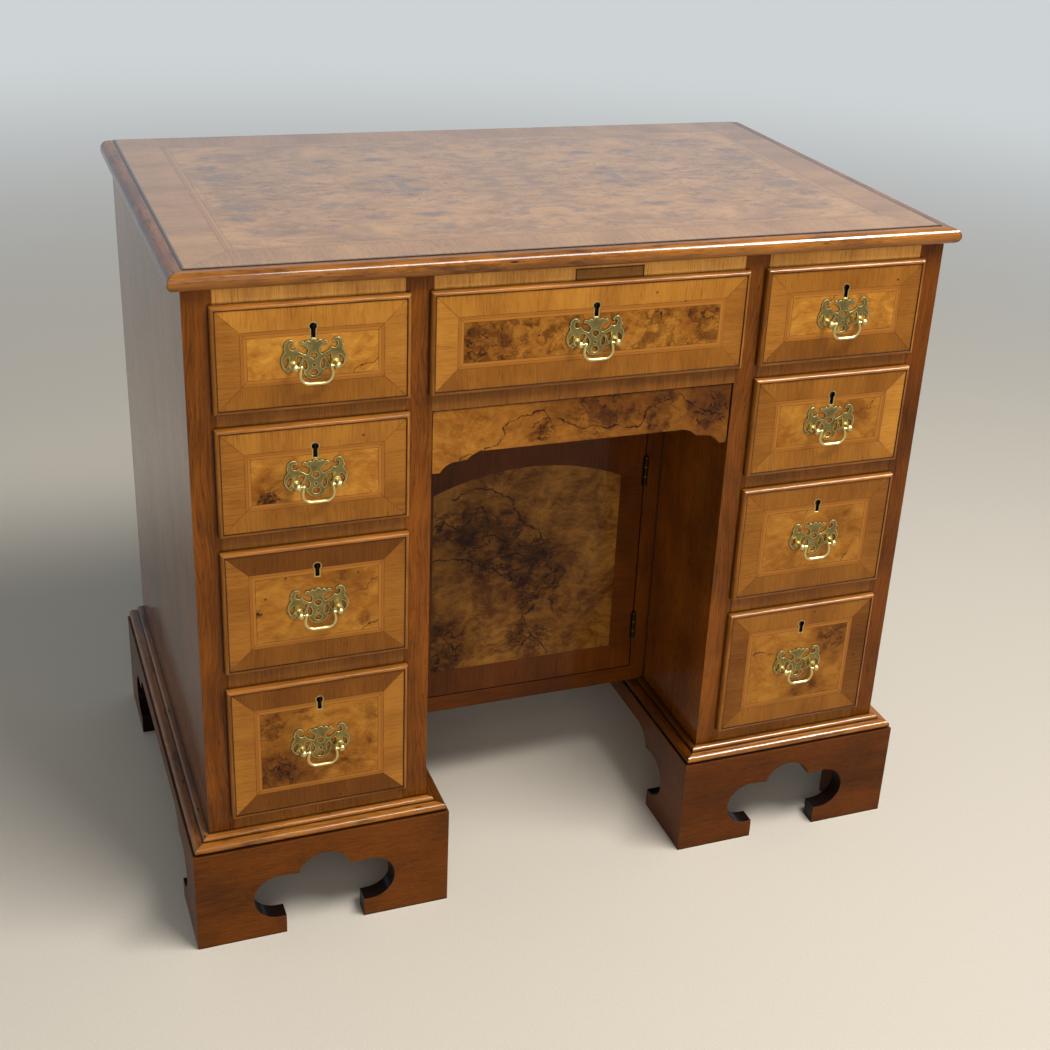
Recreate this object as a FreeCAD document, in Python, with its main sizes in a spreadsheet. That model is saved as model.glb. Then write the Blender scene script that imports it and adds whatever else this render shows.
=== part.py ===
import FreeCAD
import Part
import Sketcher
import os
import re

# Kneehole desk. Millimetres, X to the right, Y to the back, Z up.
# The origin lies on the floor at the middle of the desk's overall box.

# Driving sizes: alias, value, what it measures
SIZES = (
    ("carcase_width", 800, "width over the outer sides"),
    ("carcase_depth", 505, "depth from the front plane to the back"),
    ("kneehole_width", 329, "clear width between the pedestals"),
    ("side_thickness", 20, "pedestal side boards"),
    ("stile_thickness", 7.75, "stile glued inside the front edge of a side"),
    ("stile_depth", 22, "stiles and rails, front to back"),
    ("back_thickness", 12, "back boards"),
    ("back_joint", 0.6, "open joint between back boards"),
    ("dustboard_thickness", 10, "boards that the drawers run on"),
    ("guide_height", 14, "strips beside the drawers"),
    ("top_thickness", 17.5, "veneered top board"),
    ("top_overhang", 12.5, "top moulding past the carcase"),
    ("top_moulding_width", 16, "top moulding strip, front to back"),
    ("top_quirk", 0.8, "top moulding below the veneered field"),
    ("top_corner_round", 12, "rounded back end of a side moulding"),
    ("top_rail_thickness", 20, "rails under the top"),
    ("rail_1_thickness", 23, "rail between rows 1 and 2"),
    ("rail_2_thickness", 25, "rail between rows 2 and 3"),
    ("rail_3_thickness", 27.5, "rail between rows 3 and 4"),
    ("floor_thickness", 21.5, "pedestal floor and its rail"),
    ("row_1_height", 105.5, "lipped front, top row"),
    ("row_2_height", 112, "lipped front, second row"),
    ("row_3_height", 136, "lipped front, third row"),
    ("row_4_height", 156, "lipped front, bottom row"),
    ("lip_overlap", 4, "lip past each edge of its opening"),
    ("lip_proud", 8, "lip in front of the carcase"),
    ("bead_width", 4, "rounded edge round a drawer's face"),
    ("bead_height", 0.7, "rounded edge above the veneer"),
    ("bead_flat", 0.5, "flat strip inside the rounded edge"),
    ("core_thickness", 14, "drawer front behind the lip"),
    ("drawer_clearance", 1, "drawer to each side of its opening"),
    ("runner_gap", 0.3, "drawer above what it runs on"),
    ("top_clearance", 1.5, "drawer below the rail above"),
    ("drawer_back_gap", 15, "drawer to the back boards"),
    ("lining_thickness", 10, "drawer sides and back"),
    ("lining_drop", 8, "drawer back below the sides"),
    ("bottom_thickness", 7, "drawer bottom board"),
    ("bottom_rise", 5, "drawer bottom above the side's foot"),
    ("kneehole_rail_thickness", 22, "rail under the long drawer"),
    ("apron_height", 67.5, "apron at its ends"),
    ("apron_thickness", 20, "apron board"),
    ("apron_setback", 1.5, "apron behind the front plane"),
    ("apron_gap", 0.8, "open joint round the apron"),
    ("ogee_bend_share", 0.35, "ogee's bend along its run"),
    ("ogee_swell_share", 0.68, "ogee's bend up its rise"),
    ("cove_bend_share", 0.4, "cove's bend along its run"),
    ("cove_swell_share", 0.75, "cove's bend up its rise"),
    ("apron_tip_width", 9, "flat tip at each end of the apron"),
    ("ogee_run", 18, "ogee of the apron, along"),
    ("ogee_rise", 10.5, "ogee of the apron, up"),
    ("ledge_run", 10, "ledge after the ogee, along"),
    ("ledge_rise", 1, "ledge after the ogee, up"),
    ("cove_run", 20, "cove after the ledge, along"),
    ("cove_rise", 8, "cove after the ledge, up"),
    ("apron_box_height", 40, "sides of the apron drawer"),
    ("apron_back_gap", 8, "apron drawer to the cupboard"),
    ("bearer_width", 14, "strips under the apron drawer"),
    ("bearer_height", 8, "strips under the apron drawer"),
    ("cupboard_setback", 155, "cupboard face behind the front plane"),
    ("frame_width", 20, "cupboard stiles and bottom rail"),
    ("frame_depth", 20, "cupboard frame, front to back"),
    ("door_height", 325, "cupboard door"),
    ("door_thickness", 18, "cupboard door"),
    ("door_gap", 1.2, "door to its frame"),
    ("shelf_thickness", 12, "cupboard shelf"),
    ("shelf_rise", 160, "shelf above the cupboard floor"),
    ("shelf_setback", 30, "shelf behind the cupboard frame"),
    ("hinge_length", 37, "butt hinge"),
    ("hinge_inset", 40, "hinge from the end of the door"),
    ("leaf_thickness", 1.2, "hinge leaf"),
    ("leaf_depth", 14, "hinge leaf into the joint"),
    ("barrel_diameter", 5, "hinge knuckles"),
    ("pin_diameter", 2.4, "hinge pin"),
    ("pin_fit", 0.1, "hinge pin in its knuckles, on diameter"),
    ("knuckle_gap", 0.3, "between knuckles"),
    ("plinth_height", 120, "bracket feet"),
    ("plinth_projection", 20.7, "brackets past the carcase"),
    ("bracket_thickness", 20, "bracket boards"),
    ("toe_reach", 95.5, "end of a bracket to the tip of its toe"),
    ("lobe_reach", 88.5, "end of a bracket to the middle of the lobe"),
    ("lobe_rise", 50, "middle of the lobe above the floor"),
    ("lobe_radius", 27.5, "round lobe of the cut-out"),
    ("cusp_reach", 110, "end of a bracket to the cusp"),
    ("cusp_rise", 76, "cusp above the floor"),
    ("arch_run", 28, "cusp to the crown of the arch"),
    ("arch_rise", 97, "crown of the arch above the floor"),
    ("arch_bend_share", 0.36, "arch's bend along its run"),
    ("arch_swell_share", 0.74, "arch's bend up its rise"),
    ("back_foot_width", 55, "plain foot of a back bracket"),
    ("back_foot_round", 18, "corner of the back bracket's cut-out"),
    ("block_width", 34, "glue blocks in the plinth"),
    ("block_lift", 3, "glue blocks above the floor"),
    ("base_moulding_height", 13, "base moulding on the brackets"),
    ("base_fillet", 2.2, "bracket's edge past the base moulding"),
    ("torus_height", 8.5, "large round of the base moulding"),
    ("torus_depth", 10, "large round, front to back"),
    ("base_quirk", 0.8, "groove between the base moulding's members"),
    ("base_step_round", 3, "rounded edge of the upper member"),
    ("row_1_handle_drop", 7.4, "handle posts below the drawer's middle"),
    ("row_2_handle_drop", 5.2, "handle posts below the drawer's middle"),
    ("row_3_handle_drop", 4.5, "handle posts below the drawer's middle"),
    ("row_4_handle_drop", 2.7, "handle posts below the drawer's middle"),
    ("key_drop", 24.3, "keyhole below the top of the lip"),
    ("plate_width", 61.5, "back plate"),
    ("plate_height", 39.7, "back plate"),
    ("plate_foot", 15.5, "posts above the foot of the back plate"),
    ("plate_thickness", 1.3, "back plate"),
    ("post_spacing", 40, "between the handle posts"),
    ("post_standoff", 9.5, "bail's axis in front of the back plate"),
    ("shank_diameter", 4, "post through the drawer front"),
    ("shank_fit", 0.3, "shank in its holes, on diameter"),
    ("collar_diameter", 7.2, "post's foot on the plate"),
    ("collar_height", 1.5, "post's foot on the plate"),
    ("stem_diameter", 4.6, "post between its foot and ball"),
    ("ball_diameter", 7, "post's head"),
    ("nut_diameter", 10, "nut on the post, over its corners"),
    ("nut_height", 4, "nut on the post"),
    ("shank_tail", 2, "post past its nut"),
    ("bail_diameter", 3.3, "bail's bar"),
    ("bail_spacing", 28.2, "between the bail's legs at its axis"),
    ("bail_belly", 30.6, "between the bail's legs at their widest"),
    ("bail_drop", 16.5, "bail's bar below its axis"),
    ("bail_round", 9, "bend of the bail"),
    ("knob_diameter", 4, "round end of the bail's leg"),
    ("pivot_diameter", 2.2, "bail's pivot"),
    ("pivot_fit", 0.1, "pivot in its ball, on diameter"),
    ("pivot_reach", 1.5, "pivot past the middle of its ball"),
    ("key_radius", 4.6, "keyhole liner, round head"),
    ("key_slot", 6.4, "keyhole liner, width of its slot"),
    ("key_length", 12.5, "keyhole liner, head's middle to foot"),
    ("key_wall", 1.2, "keyhole liner"),
    ("liner_depth", 5, "keyhole liner into the wood"),
    ("lock_width", 46, "lock case"),
    ("lock_height", 32, "lock case"),
    ("lock_depth", 9, "lock case"),
    ("bolt_width", 18, "lock bolt"),
    ("bolt_height", 14, "lock bolt"),
    ("bolt_depth", 4, "lock bolt"),
    ("bolt_fit", 0.2, "lock bolt in its slot"),
    ("overrun", 2, "cuts past the face they open"),
)

# Worked out from the sizes: alias, formula, what it measures
LAYOUT = (
    ("face_proud", "lip_proud - bead_height", "veneered face in front of the carcase"),
    ("bail_axis", "face_proud + plate_thickness + post_standoff", "bail's axis in front of the carcase"),
    ("front_reach", "max(plinth_projection; bail_axis + ball_diameter / 2)", "furthest forward"),
    ("front_plane", "-(carcase_depth - front_reach) / 2", "front of the carcase"),
    ("inner_depth", "carcase_depth - back_thickness", "front plane to the back boards"),
    ("pedestal_width", "(carcase_width - kneehole_width) / 2", "over a pedestal's sides"),
    ("pedestal_axis", "(carcase_width - pedestal_width) / 2", "middle of a pedestal"),
    ("pedestal_inside", "pedestal_width - 2 * side_thickness", "between a pedestal's sides"),
    ("opening_width", "pedestal_inside - 2 * stile_thickness", "short drawers' openings"),
    ("floor_base", "plinth_height + base_moulding_height", "under the pedestal floor"),
    ("row_4_base", "floor_base + floor_thickness", "foot of the bottom opening"),
    ("row_3_base", "row_4_base + row_4_height - 2 * lip_overlap + rail_3_thickness", "third opening"),
    ("row_2_base", "row_3_base + row_3_height - 2 * lip_overlap + rail_2_thickness", "second opening"),
    ("row_1_base", "row_2_base + row_2_height - 2 * lip_overlap + rail_1_thickness", "top opening"),
    ("rail_base", "row_1_base + row_1_height - 2 * lip_overlap", "under the top rail"),
    ("top_base", "rail_base + top_rail_thickness", "under the top"),
    ("side_height", "top_base - plinth_height", "pedestal sides"),
    ("drawer_depth", "inner_depth - drawer_back_gap", "front plane to a drawer's back"),
    ("guide_run", "inner_depth - stile_depth", "behind the stiles and rails"),
    ("field_inset", "top_moulding_width - top_overhang", "top's veneer inside the carcase"),
    ("apron_top", "row_1_base - kneehole_rail_thickness", "under the kneehole rail"),
    ("apron_rise", "ogee_rise + ledge_rise + cove_rise", "apron's middle above its tips"),
    ("apron_base", "apron_top - apron_gap - apron_height", "apron's tips"),
    ("bearer_top", "apron_base + apron_rise + bearer_height", "what the apron drawer runs on"),
    ("apron_depth", "cupboard_setback - apron_back_gap", "front plane to the apron drawer's back"),
    ("door_width", "kneehole_width - 2 * frame_width - 2 * door_gap", "cupboard door"),
    ("door_base", "floor_base + frame_width + door_gap", "foot of the cupboard door"),
    ("door_top", "door_base + door_height", "top of the cupboard door"),
    ("dust_base", "row_1_base - dustboard_thickness", "under the long drawer's dust board"),
    ("hinge_x", "(door_width + door_gap) / 2", "hinge pin, across"),
    ("hinge_y", "cupboard_setback - barrel_diameter / 2", "hinge pin, behind the front plane"),
    ("bracket_length", "pedestal_width + 2 * plinth_projection", "front bracket"),
    ("side_run", "carcase_depth + plinth_projection", "side bracket"),
    ("base_lip", "plinth_projection - base_fillet", "base moulding past the carcase"),
    ("base_step", "base_lip - torus_depth", "upper member past the carcase"),
    ("key_mouth", "key_slot / 2", "keyhole liner's slot, half"),
    ("key_shoulder", "sqrt(key_radius ^ 2 - key_mouth ^ 2)", "slot's start below the head"),
    ("key_eye", "key_radius - key_wall", "keyhole's head"),
    ("key_way", "key_mouth - key_wall", "keyhole's slot, half"),
    ("key_neck", "sqrt(key_eye ^ 2 - key_way ^ 2)", "hole's slot below the head"),
    ("lock_top", "key_drop - lip_overlap - top_clearance", "lock's top above its keyhole"),
    ("corner_share", "1 - sqrt(1 / 2)", "middle of a quarter round, from its corner"),
)

# Half of the pierced back plate as shares of its half width and height, from crest to foot and up
# the middle. Two shares run straight to a point; four bend through the first pair to the second.
PLATE_EDGE_SHARES = (
    (0.07, 0.985, 0.105, 0.925),
    (0.19, 0.965, 0.275, 0.9),
    (0.36, 0.945, 0.43, 0.87),
    (0.26, 0.82, 0.17, 0.705),
    (0.235, 0.61),
    (0.36, 0.65, 0.475, 0.71),
    (0.535, 0.8),
    (0.665, 0.75, 0.735, 0.84),
    (0.7, 0.905, 0.625, 0.885),
    (0.57, 0.915),
    (0.71, 1.0, 0.845, 0.955),
    (0.89, 0.9, 0.885, 0.84),
    (0.93, 0.815),
    (0.88, 0.71),
    (1.0, 0.44, 0.8, 0.22),
    (0.65, 0.27, 0.485, 0.265),
    (0.33, 0.235),
    (0.22, 0.06, 0.0, 0.0),
    (0.0, 0.085),
    (0.115, 0.16, 0.0, 0.24),
    (0.0, 0.3),
    (0.045, 0.345),
    (0.0, 0.39),
    (0.0, 0.485),
    (0.1, 0.55),
    (0.1, 0.62, 0.0, 0.655),
    (0.0, 1.0),
)
# Openings pierced through each half: the wing's lobe, the gap under the strand, the side of the ring
PLATE_OPENING_SHARES = (
    ((0.76, 0.57), (0.915, 0.48, 0.86, 0.31), (0.785, 0.42, 0.76, 0.57)),
    ((0.335, 0.56), (0.505, 0.6), (0.535, 0.48, 0.475, 0.33), (0.415, 0.44, 0.335, 0.56)),
    ((0.285, 0.5), (0.345, 0.385, 0.255, 0.235), (0.2, 0.37, 0.285, 0.5)),
)

ROWS = ("1", "2", "3", "4")
BACK_BOARDS = ("Lower", "Middle", "Upper")
X_AXIS = FreeCAD.Vector(1, 0, 0)
Y_AXIS = FreeCAD.Vector(0, 1, 0)
Z_AXIS = FreeCAD.Vector(0, 0, 1)
NEAR = 1e-4

doc = FreeCAD.newDocument("KneeholeDesk")
SIZE_NAMES = {alias for alias, _, _ in SIZES}
LAYOUT_NAMES = {alias for alias, _, _ in LAYOUT}
nodes = []


def qualify(text):
    """Put each alias of an expression under the sheet that holds it."""

    def place(match):
        word = match.group(0)
        if word in SIZE_NAMES:
            return "Sizes." + word
        return "Layout." + word if word in LAYOUT_NAMES else word

    return re.sub(r"[a-z][a-z_0-9]*", place, text)


def fill_sheet(name, table, written):
    sheet = doc.addObject("Spreadsheet::Sheet", name)
    for row, (alias, value, note) in enumerate(table, 1):
        sheet.set(f"A{row}", note)
        sheet.set(f"B{row}", written(value))
        sheet.setAlias(f"B{row}", alias)
    doc.recompute()
    return sheet


sizes = fill_sheet("Sizes", SIZES, str)
fill_sheet("Layout", LAYOUT, lambda text: "=" + qualify(text))


def number(text):
    return float(sizes.evalExpression(qualify(text)))


def bind(thing, **expressions):
    """Bind properties to the sheets; two underscores stand for a dot."""
    for name, text in expressions.items():
        thing.setExpression(name.replace("__", "."), qualify(text))
    return thing


def put(thing, x="0", y="0", z="0"):
    return bind(thing, Placement__Base__x=x, Placement__Base__y=y, Placement__Base__z=z)


def turn(thing, axis, degrees):
    thing.Placement.Rotation = FreeCAD.Rotation(axis, degrees)
    return thing


def board(name, size, corner):
    """A squared board from its three sizes and its lowest corner."""
    box = doc.addObject("Part::Box", name)
    bind(box, Length=size[0], Width=size[1], Height=size[2])
    return put(box, *corner)


def rod(name, diameter, length, start, axis=Z_AXIS):
    """A round rod that runs along an axis from its start."""
    cylinder = doc.addObject("Part::Cylinder", name)
    cylinder.Placement.Rotation = FreeCAD.Rotation(Z_AXIS, axis)
    bind(cylinder, Radius=f"({diameter}) / 2", Height=length)
    return put(cylinder, *start)


def ball(name, diameter, centre):
    sphere = doc.addObject("Part::Sphere", name)
    return put(bind(sphere, Radius=f"({diameter}) / 2"), *centre)


def fuse(name, pieces):
    joined = doc.addObject("Part::MultiFuse", name)
    joined.Shapes = pieces
    return joined


def cut(name, base, tools):
    result = doc.addObject("Part::Cut", name)
    result.Base = base
    result.Tool = tools[0] if len(tools) == 1 else fuse(name + "Tools", tools)
    return result


def common(name, first, second):
    result = doc.addObject("Part::Common", name)
    result.Base = first
    result.Tool = second
    return result


def group(name, pieces, x="0", y="0", z="0"):
    """Separate pieces kept together, in a place of their own."""
    compound = doc.addObject("Part::Compound", name)
    compound.Links = pieces
    return put(compound, x, y, z)


def node(label, pieces, x="0", y="front_plane", z="0"):
    """A named sub-part, counted from the carcase's front plane."""
    compound = group(label, pieces, x, y, z)
    compound.Label = label
    nodes.append(compound)
    return compound


def new_body(name):
    return doc.addObject("PartDesign::Body", name)


def spot(place):
    return FreeCAD.Vector(number(place[0]), number(place[1]), 0)


def hold_point(sketch, edge, end, place):
    """Bind a point of a sketch to a place written as two expressions."""
    for kind, line, text in (("DistanceX", -2, place[0]), ("DistanceY", -1, place[1])):
        if abs(number(text)) < NEAR:
            sketch.addConstraint(Sketcher.Constraint("PointOnObject", edge, end, line))
            continue
        held = sketch.addConstraint(Sketcher.Constraint(kind, -1, 1, edge, end, number(text)))
        sketch.setExpression(f"Constraints[{held}]", qualify(text))


def draw_loop(sketch, start, steps):
    """Draw lines to (x, y) and arcs through (x, y) to (x, y), each bound to the sheets."""
    edges = []
    here = start
    for step in steps:
        there = step[-2:]
        if len(step) == 2:
            edge = sketch.addGeometry(Part.LineSegment(spot(here), spot(there)))
        else:
            edge = sketch.addGeometry(Part.Arc(spot(here), spot(step[:2]), spot(there)))
            via = sketch.addGeometry(Part.Point(spot(step[:2])), True)
            hold_point(sketch, via, 1, step[:2])
            sketch.addConstraint(Sketcher.Constraint("PointOnObject", via, 1, edge))
        ends = [sketch.getPoint(edge, end).distanceToPoint(spot(here)) for end in (1, 2)]
        edges.append((edge, 1 if ends[0] < ends[1] else 2, here))
        here = there
    for (edge, first, place), (last, last_first, _) in zip(edges, edges[-1:] + edges[:-1]):
        hold_point(sketch, edge, first, place)
        if place is not start or here == start:
            sketch.addConstraint(Sketcher.Constraint("Coincident", last, 3 - last_first, edge, first))
    if here != start:
        hold_point(sketch, edges[-1][0], 3 - edges[-1][1], here)


def draw_circle(sketch, centre, diameter):
    radius = number(diameter) / 2
    edge = sketch.addGeometry(Part.Circle(spot(centre), Z_AXIS, radius))
    held = sketch.addConstraint(Sketcher.Constraint("Diameter", edge, radius * 2))
    sketch.setExpression(f"Constraints[{held}]", qualify(diameter))
    hold_point(sketch, edge, 3, centre)


def new_sketch(body, name, plane, lift="0"):
    sketch = body.newObject("Sketcher::SketchObject", name)
    sketch.AttachmentSupport = (next(o for o in body.Origin.OriginFeatures if o.Role == plane), [""])
    sketch.MapMode = "FlatFace"
    return bind(sketch, AttachmentOffset__Base__z=lift)


def rectangle(left, low, right, high):
    return (left, low), ((right, low), (right, high), (left, high), (left, low))


def pad(body, sketch, length, backward=False):
    feature = body.newObject("PartDesign::Pad", body.Name + "Pad")
    feature.Profile = sketch
    feature.Reversed = backward
    return bind(feature, Length=length)


def extruded(name, plane, loops, length, backward=False):
    """A board or strip of one outline."""
    body = new_body(name)
    sketch = new_sketch(body, name + "Outline", plane)
    for start, steps in loops:
        draw_loop(sketch, start, steps)
    pad(body, sketch, length, backward)
    return body


# Top and its bull-nose moulding
def mitred(name, strip, length, width, height, mitre_left, mitre_right):
    """Cut a strip's ends to mitres: it runs along X, its outer face towards -Y, its inner face on Y = 0."""
    plan = doc.addObject("Part::Wedge", name + "Plan")
    bind(plan, Xmin="0", Xmax=length, Ymin=f"-({width})", Ymax="0", Zmin="0", Zmax=height)
    bind(plan, Z2min="0", Z2max=height)
    bind(plan, X2min=width if mitre_left else "0", X2max=f"{length} - {width}" if mitre_right else length)
    return common(name, strip, plan)


def three_strips(name, profile, front_length, side_length, width, height):
    """Strips for the front, the left and the right of a case, mitred at its two front corners."""
    strips = []
    for place, length, left, right in (
        ("Front", front_length, True, True),
        ("Left", side_length, False, True),
        ("Right", side_length, True, False),
    ):
        strip = extruded(name + place + "Strip", "YZ_Plane", [profile], length)
        strips.append(mitred(name + place, strip, length, width, height, left, right))
    turn(strips[1], Z_AXIS, -90)
    turn(strips[2], Z_AXIS, 90)
    return strips


def make_top():
    height = "top_thickness - top_quirk"
    nose = f"({height}) / 2"
    profile = (
        ("0", "0"),
        (
            (f"-(top_moulding_width - {nose})", "0"),
            ("-top_moulding_width", nose, f"-(top_moulding_width - {nose})", height),
            ("0", height),
            ("0", "0"),
        ),
    )
    front_length = "carcase_width + 2 * top_overhang"
    side_length = "carcase_depth + top_overhang"
    front, left, right = three_strips(
        "TopMoulding", profile, front_length, side_length, "top_moulding_width", height
    )
    put(front, "-carcase_width / 2 - top_overhang", "field_inset")
    put(left, "-carcase_width / 2 + field_inset", "carcase_depth")
    put(right, "carcase_width / 2 - field_inset", "-top_overhang")
    edge = "carcase_width / 2 + top_overhang - top_corner_round"
    back = "carcase_depth - top_corner_round"
    corner_size = ("top_corner_round + overrun", "top_corner_round + overrun", height)
    sides = []
    for name, side, middle, low in (
        ("TopLeft", left, f"-({edge})", f"-({edge}) - top_corner_round - overrun"),
        ("TopRight", right, edge, edge),
    ):
        corner = board(name + "Corner", corner_size, (low, back, "0"))
        quarter = rod(name + "Quarter", "2 * top_corner_round", height, (middle, back, "0"))
        sides.append(cut(name + "Rounded", side, [cut(name + "Waste", corner, [quarter])]))
    node("top_moulding", [front, *sides], z="top_base")
    field = board(
        "TopBoard",
        ("carcase_width - 2 * field_inset", "carcase_depth - field_inset", "top_thickness"),
        ("-carcase_width / 2 + field_inset", "field_inset", "top_base"),
    )
    node("desk_top", [field])


# Pedestals
def make_sides():
    outer = board("OuterSide", ("side_thickness", "carcase_depth", "side_height"), ("0", "0", "0"))
    inner = board("InnerSide", ("side_thickness", "inner_depth", "side_height"), ("0", "0", "0"))
    size = ("stile_thickness", "stile_depth", "side_height")
    right_stile = board("StileOnTheRight", size, ("side_thickness", "0", "0"))
    left_stile = board("StileOnTheLeft", size, ("-stile_thickness", "0", "0"))
    low = "plinth_height"
    node("left_outer_side", [outer, right_stile], "-carcase_width / 2", z=low)
    node("left_inner_side", [inner, left_stile], "-kneehole_width / 2 - side_thickness", z=low)
    node("right_inner_side", [inner, right_stile], "kneehole_width / 2", z=low)
    node("right_outer_side", [outer, left_stile], "carcase_width / 2 - side_thickness", z=low)


def rail(name, width, thickness, top):
    return board(name, (width, "stile_depth", thickness), (f"-({width}) / 2", "0", f"{top} - {thickness}"))


def shelf_behind(name, width, thickness, top, run="guide_run"):
    """A board behind a rail, level with the rail's top."""
    return board(name, (width, run, thickness), (f"-({width}) / 2", "stile_depth", f"{top} - {thickness}"))


def make_rails():
    short = rail("ShortTopRail", "opening_width", "top_rail_thickness", "top_base")
    long = rail("LongTopRail", "kneehole_width", "top_rail_thickness", "top_base")
    left = group("LeftTopRail", [short], "-pedestal_axis")
    right = group("RightTopRail", [short], "pedestal_axis")
    node("top_rails", [left, long, right])
    dividers = []
    for row in ROWS[:-1]:
        top = f"row_{row}_base"
        dividers.append(rail(f"Rail{row}", "opening_width", f"rail_{row}_thickness", top))
        dividers.append(shelf_behind(f"DustBoard{row}", "pedestal_inside", "dustboard_thickness", top))
    node("left_dividers", dividers, "-pedestal_axis")
    node("right_dividers", dividers, "pedestal_axis")
    floor_rail = rail("FloorRail", "opening_width", "floor_thickness", "row_4_base")
    floor = shelf_behind("Floor", "pedestal_inside", "floor_thickness", "row_4_base")
    pedestal_floor = [floor_rail, floor]
    node("pedestal_floors", [
        group("LeftFloor", pedestal_floor, "-pedestal_axis"),
        group("RightFloor", pedestal_floor, "pedestal_axis"),
    ])
    node("kneehole_rail", [
        rail("KneeholeRail", "kneehole_width", "kneehole_rail_thickness", "row_1_base"),
        shelf_behind("LongDustBoard", "kneehole_width", "dustboard_thickness", "row_1_base"),
    ])


def make_guides():
    """Strips that close the gap between the drawers and the sides, and bearers for the apron drawer."""
    strips = []
    for row in ROWS:
        size = ("stile_thickness", "guide_run", "guide_height")
        for hand, x in (("Left", "-pedestal_inside / 2"), ("Right", "opening_width / 2")):
            strips.append(board(f"{hand}Guide{row}", size, (x, "stile_depth", f"row_{row}_base")))
    size = ("bearer_width", "cupboard_setback - apron_setback - apron_thickness", "bearer_height")
    low = ("apron_setback + apron_thickness", "bearer_top - bearer_height")
    bearers = [
        board("LeftBearer", size, ("-kneehole_width / 2", *low)),
        board("RightBearer", size, ("kneehole_width / 2 - bearer_width", *low)),
    ]
    left = group("LeftGuides", strips, "-pedestal_axis")
    right = group("RightGuides", strips, "pedestal_axis")
    node("drawer_guides", [left, right, *bearers])


def make_back():
    tall = f"(top_base - floor_base + back_joint) / {len(BACK_BOARDS)} - back_joint"
    width = "carcase_width - 2 * side_thickness"
    planks = []
    for index, place in enumerate(BACK_BOARDS):
        low = f"floor_base + {index} * ({tall} + back_joint)"
        corner = (f"-({width}) / 2", "inner_depth", low)
        planks.append(board(f"{place}BackBoard", (width, "back_thickness", tall), corner))
    node("back_boards", planks)


# Plinth
def bracket_outline(length, level):
    """A bracket board with a scrolled foot at each end and an arch between, level in its middle or not."""

    def foot(x):
        lobe = x("lobe_reach")
        side = x("lobe_reach - lobe_radius")
        return (
            (x("toe_reach"), "0"),
            (x("toe_reach"), "lobe_rise - lobe_radius"),
            (lobe, "lobe_rise - lobe_radius"),
            (side, "lobe_rise", lobe, "lobe_rise + lobe_radius"),
            (x("cusp_reach"), "cusp_rise"),
        )

    def backwards(steps, end):
        """The same edges the other way."""
        places = [step[-2:] for step in steps]
        turned = []
        for step, place in zip(reversed(steps[1:]), reversed(places[:-1])):
            turned.append(step[:-2] + place)
        return turned + [end]

    def near(reach):
        return reach

    def far(reach):
        return f"{length} - ({reach})"

    bend = "cusp_reach + arch_run * arch_bend_share"
    swell = "cusp_rise + (arch_rise - cusp_rise) * arch_swell_share"
    crown = "cusp_reach + arch_run"
    left = foot(near)
    right = foot(far)
    steps = list(left)
    if level:
        steps += [(near(bend), swell, near(crown), "arch_rise"), (far(crown), "arch_rise")]
        steps.append((far(bend), swell, *right[-1]))
    else:
        steps.append((f"({length}) / 2", "arch_rise", *right[-1]))
    steps += backwards(right, (length, "0"))
    steps += [(length, "plinth_height"), ("0", "plinth_height"), ("0", "0")]
    return ("0", "0"), steps


def make_plinth():
    brackets = []
    for place, length, level, left, right in (
        ("Front", "bracket_length", False, True, True),
        ("Left", "side_run", True, False, True),
        ("Right", "side_run", True, True, False),
    ):
        name = place + "Bracket"
        outline = bracket_outline(length, level)
        blank = extruded(name + "Board", "XZ_Plane", [outline], "bracket_thickness")
        brackets.append(mitred(name, blank, length, "bracket_thickness", "plinth_height", left, right))
    front, outer, inner = brackets
    turn(outer, Z_AXIS, -90)
    turn(inner, Z_AXIS, 90)
    inset = "plinth_projection - bracket_thickness"
    put(front, "-bracket_length / 2", f"-({inset})")
    put(outer, f"-pedestal_width / 2 - ({inset})", "carcase_depth")
    put(inner, f"pedestal_width / 2 + {inset}", "-plinth_projection")
    width = f"pedestal_width + 2 * ({inset})"
    back = extruded("BackBracket", "XZ_Plane", [back_bracket_outline(width)], "bracket_thickness")
    put(back, f"-({width}) / 2", "carcase_depth")
    feet = [*brackets, back]
    node("left_bracket_feet", feet, "-pedestal_axis")
    node("right_bracket_feet", feet, "pedestal_axis")


def back_bracket_outline(length):
    far = f"{length} - back_foot_width"
    turn_in = "back_foot_round * corner_share"
    return ("0", "0"), (
        ("back_foot_width", "0"),
        ("back_foot_width", "arch_rise - back_foot_round"),
        (
            f"back_foot_width + {turn_in}",
            f"arch_rise - {turn_in}",
            "back_foot_width + back_foot_round",
            "arch_rise",
        ),
        (f"{far} - back_foot_round", "arch_rise"),
        (f"{far} - {turn_in}", f"arch_rise - {turn_in}", far, "arch_rise - back_foot_round"),
        (far, "0"),
        (length, "0"),
        (length, "plinth_height"),
        ("0", "plinth_height"),
        ("0", "0"),
    )


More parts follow.
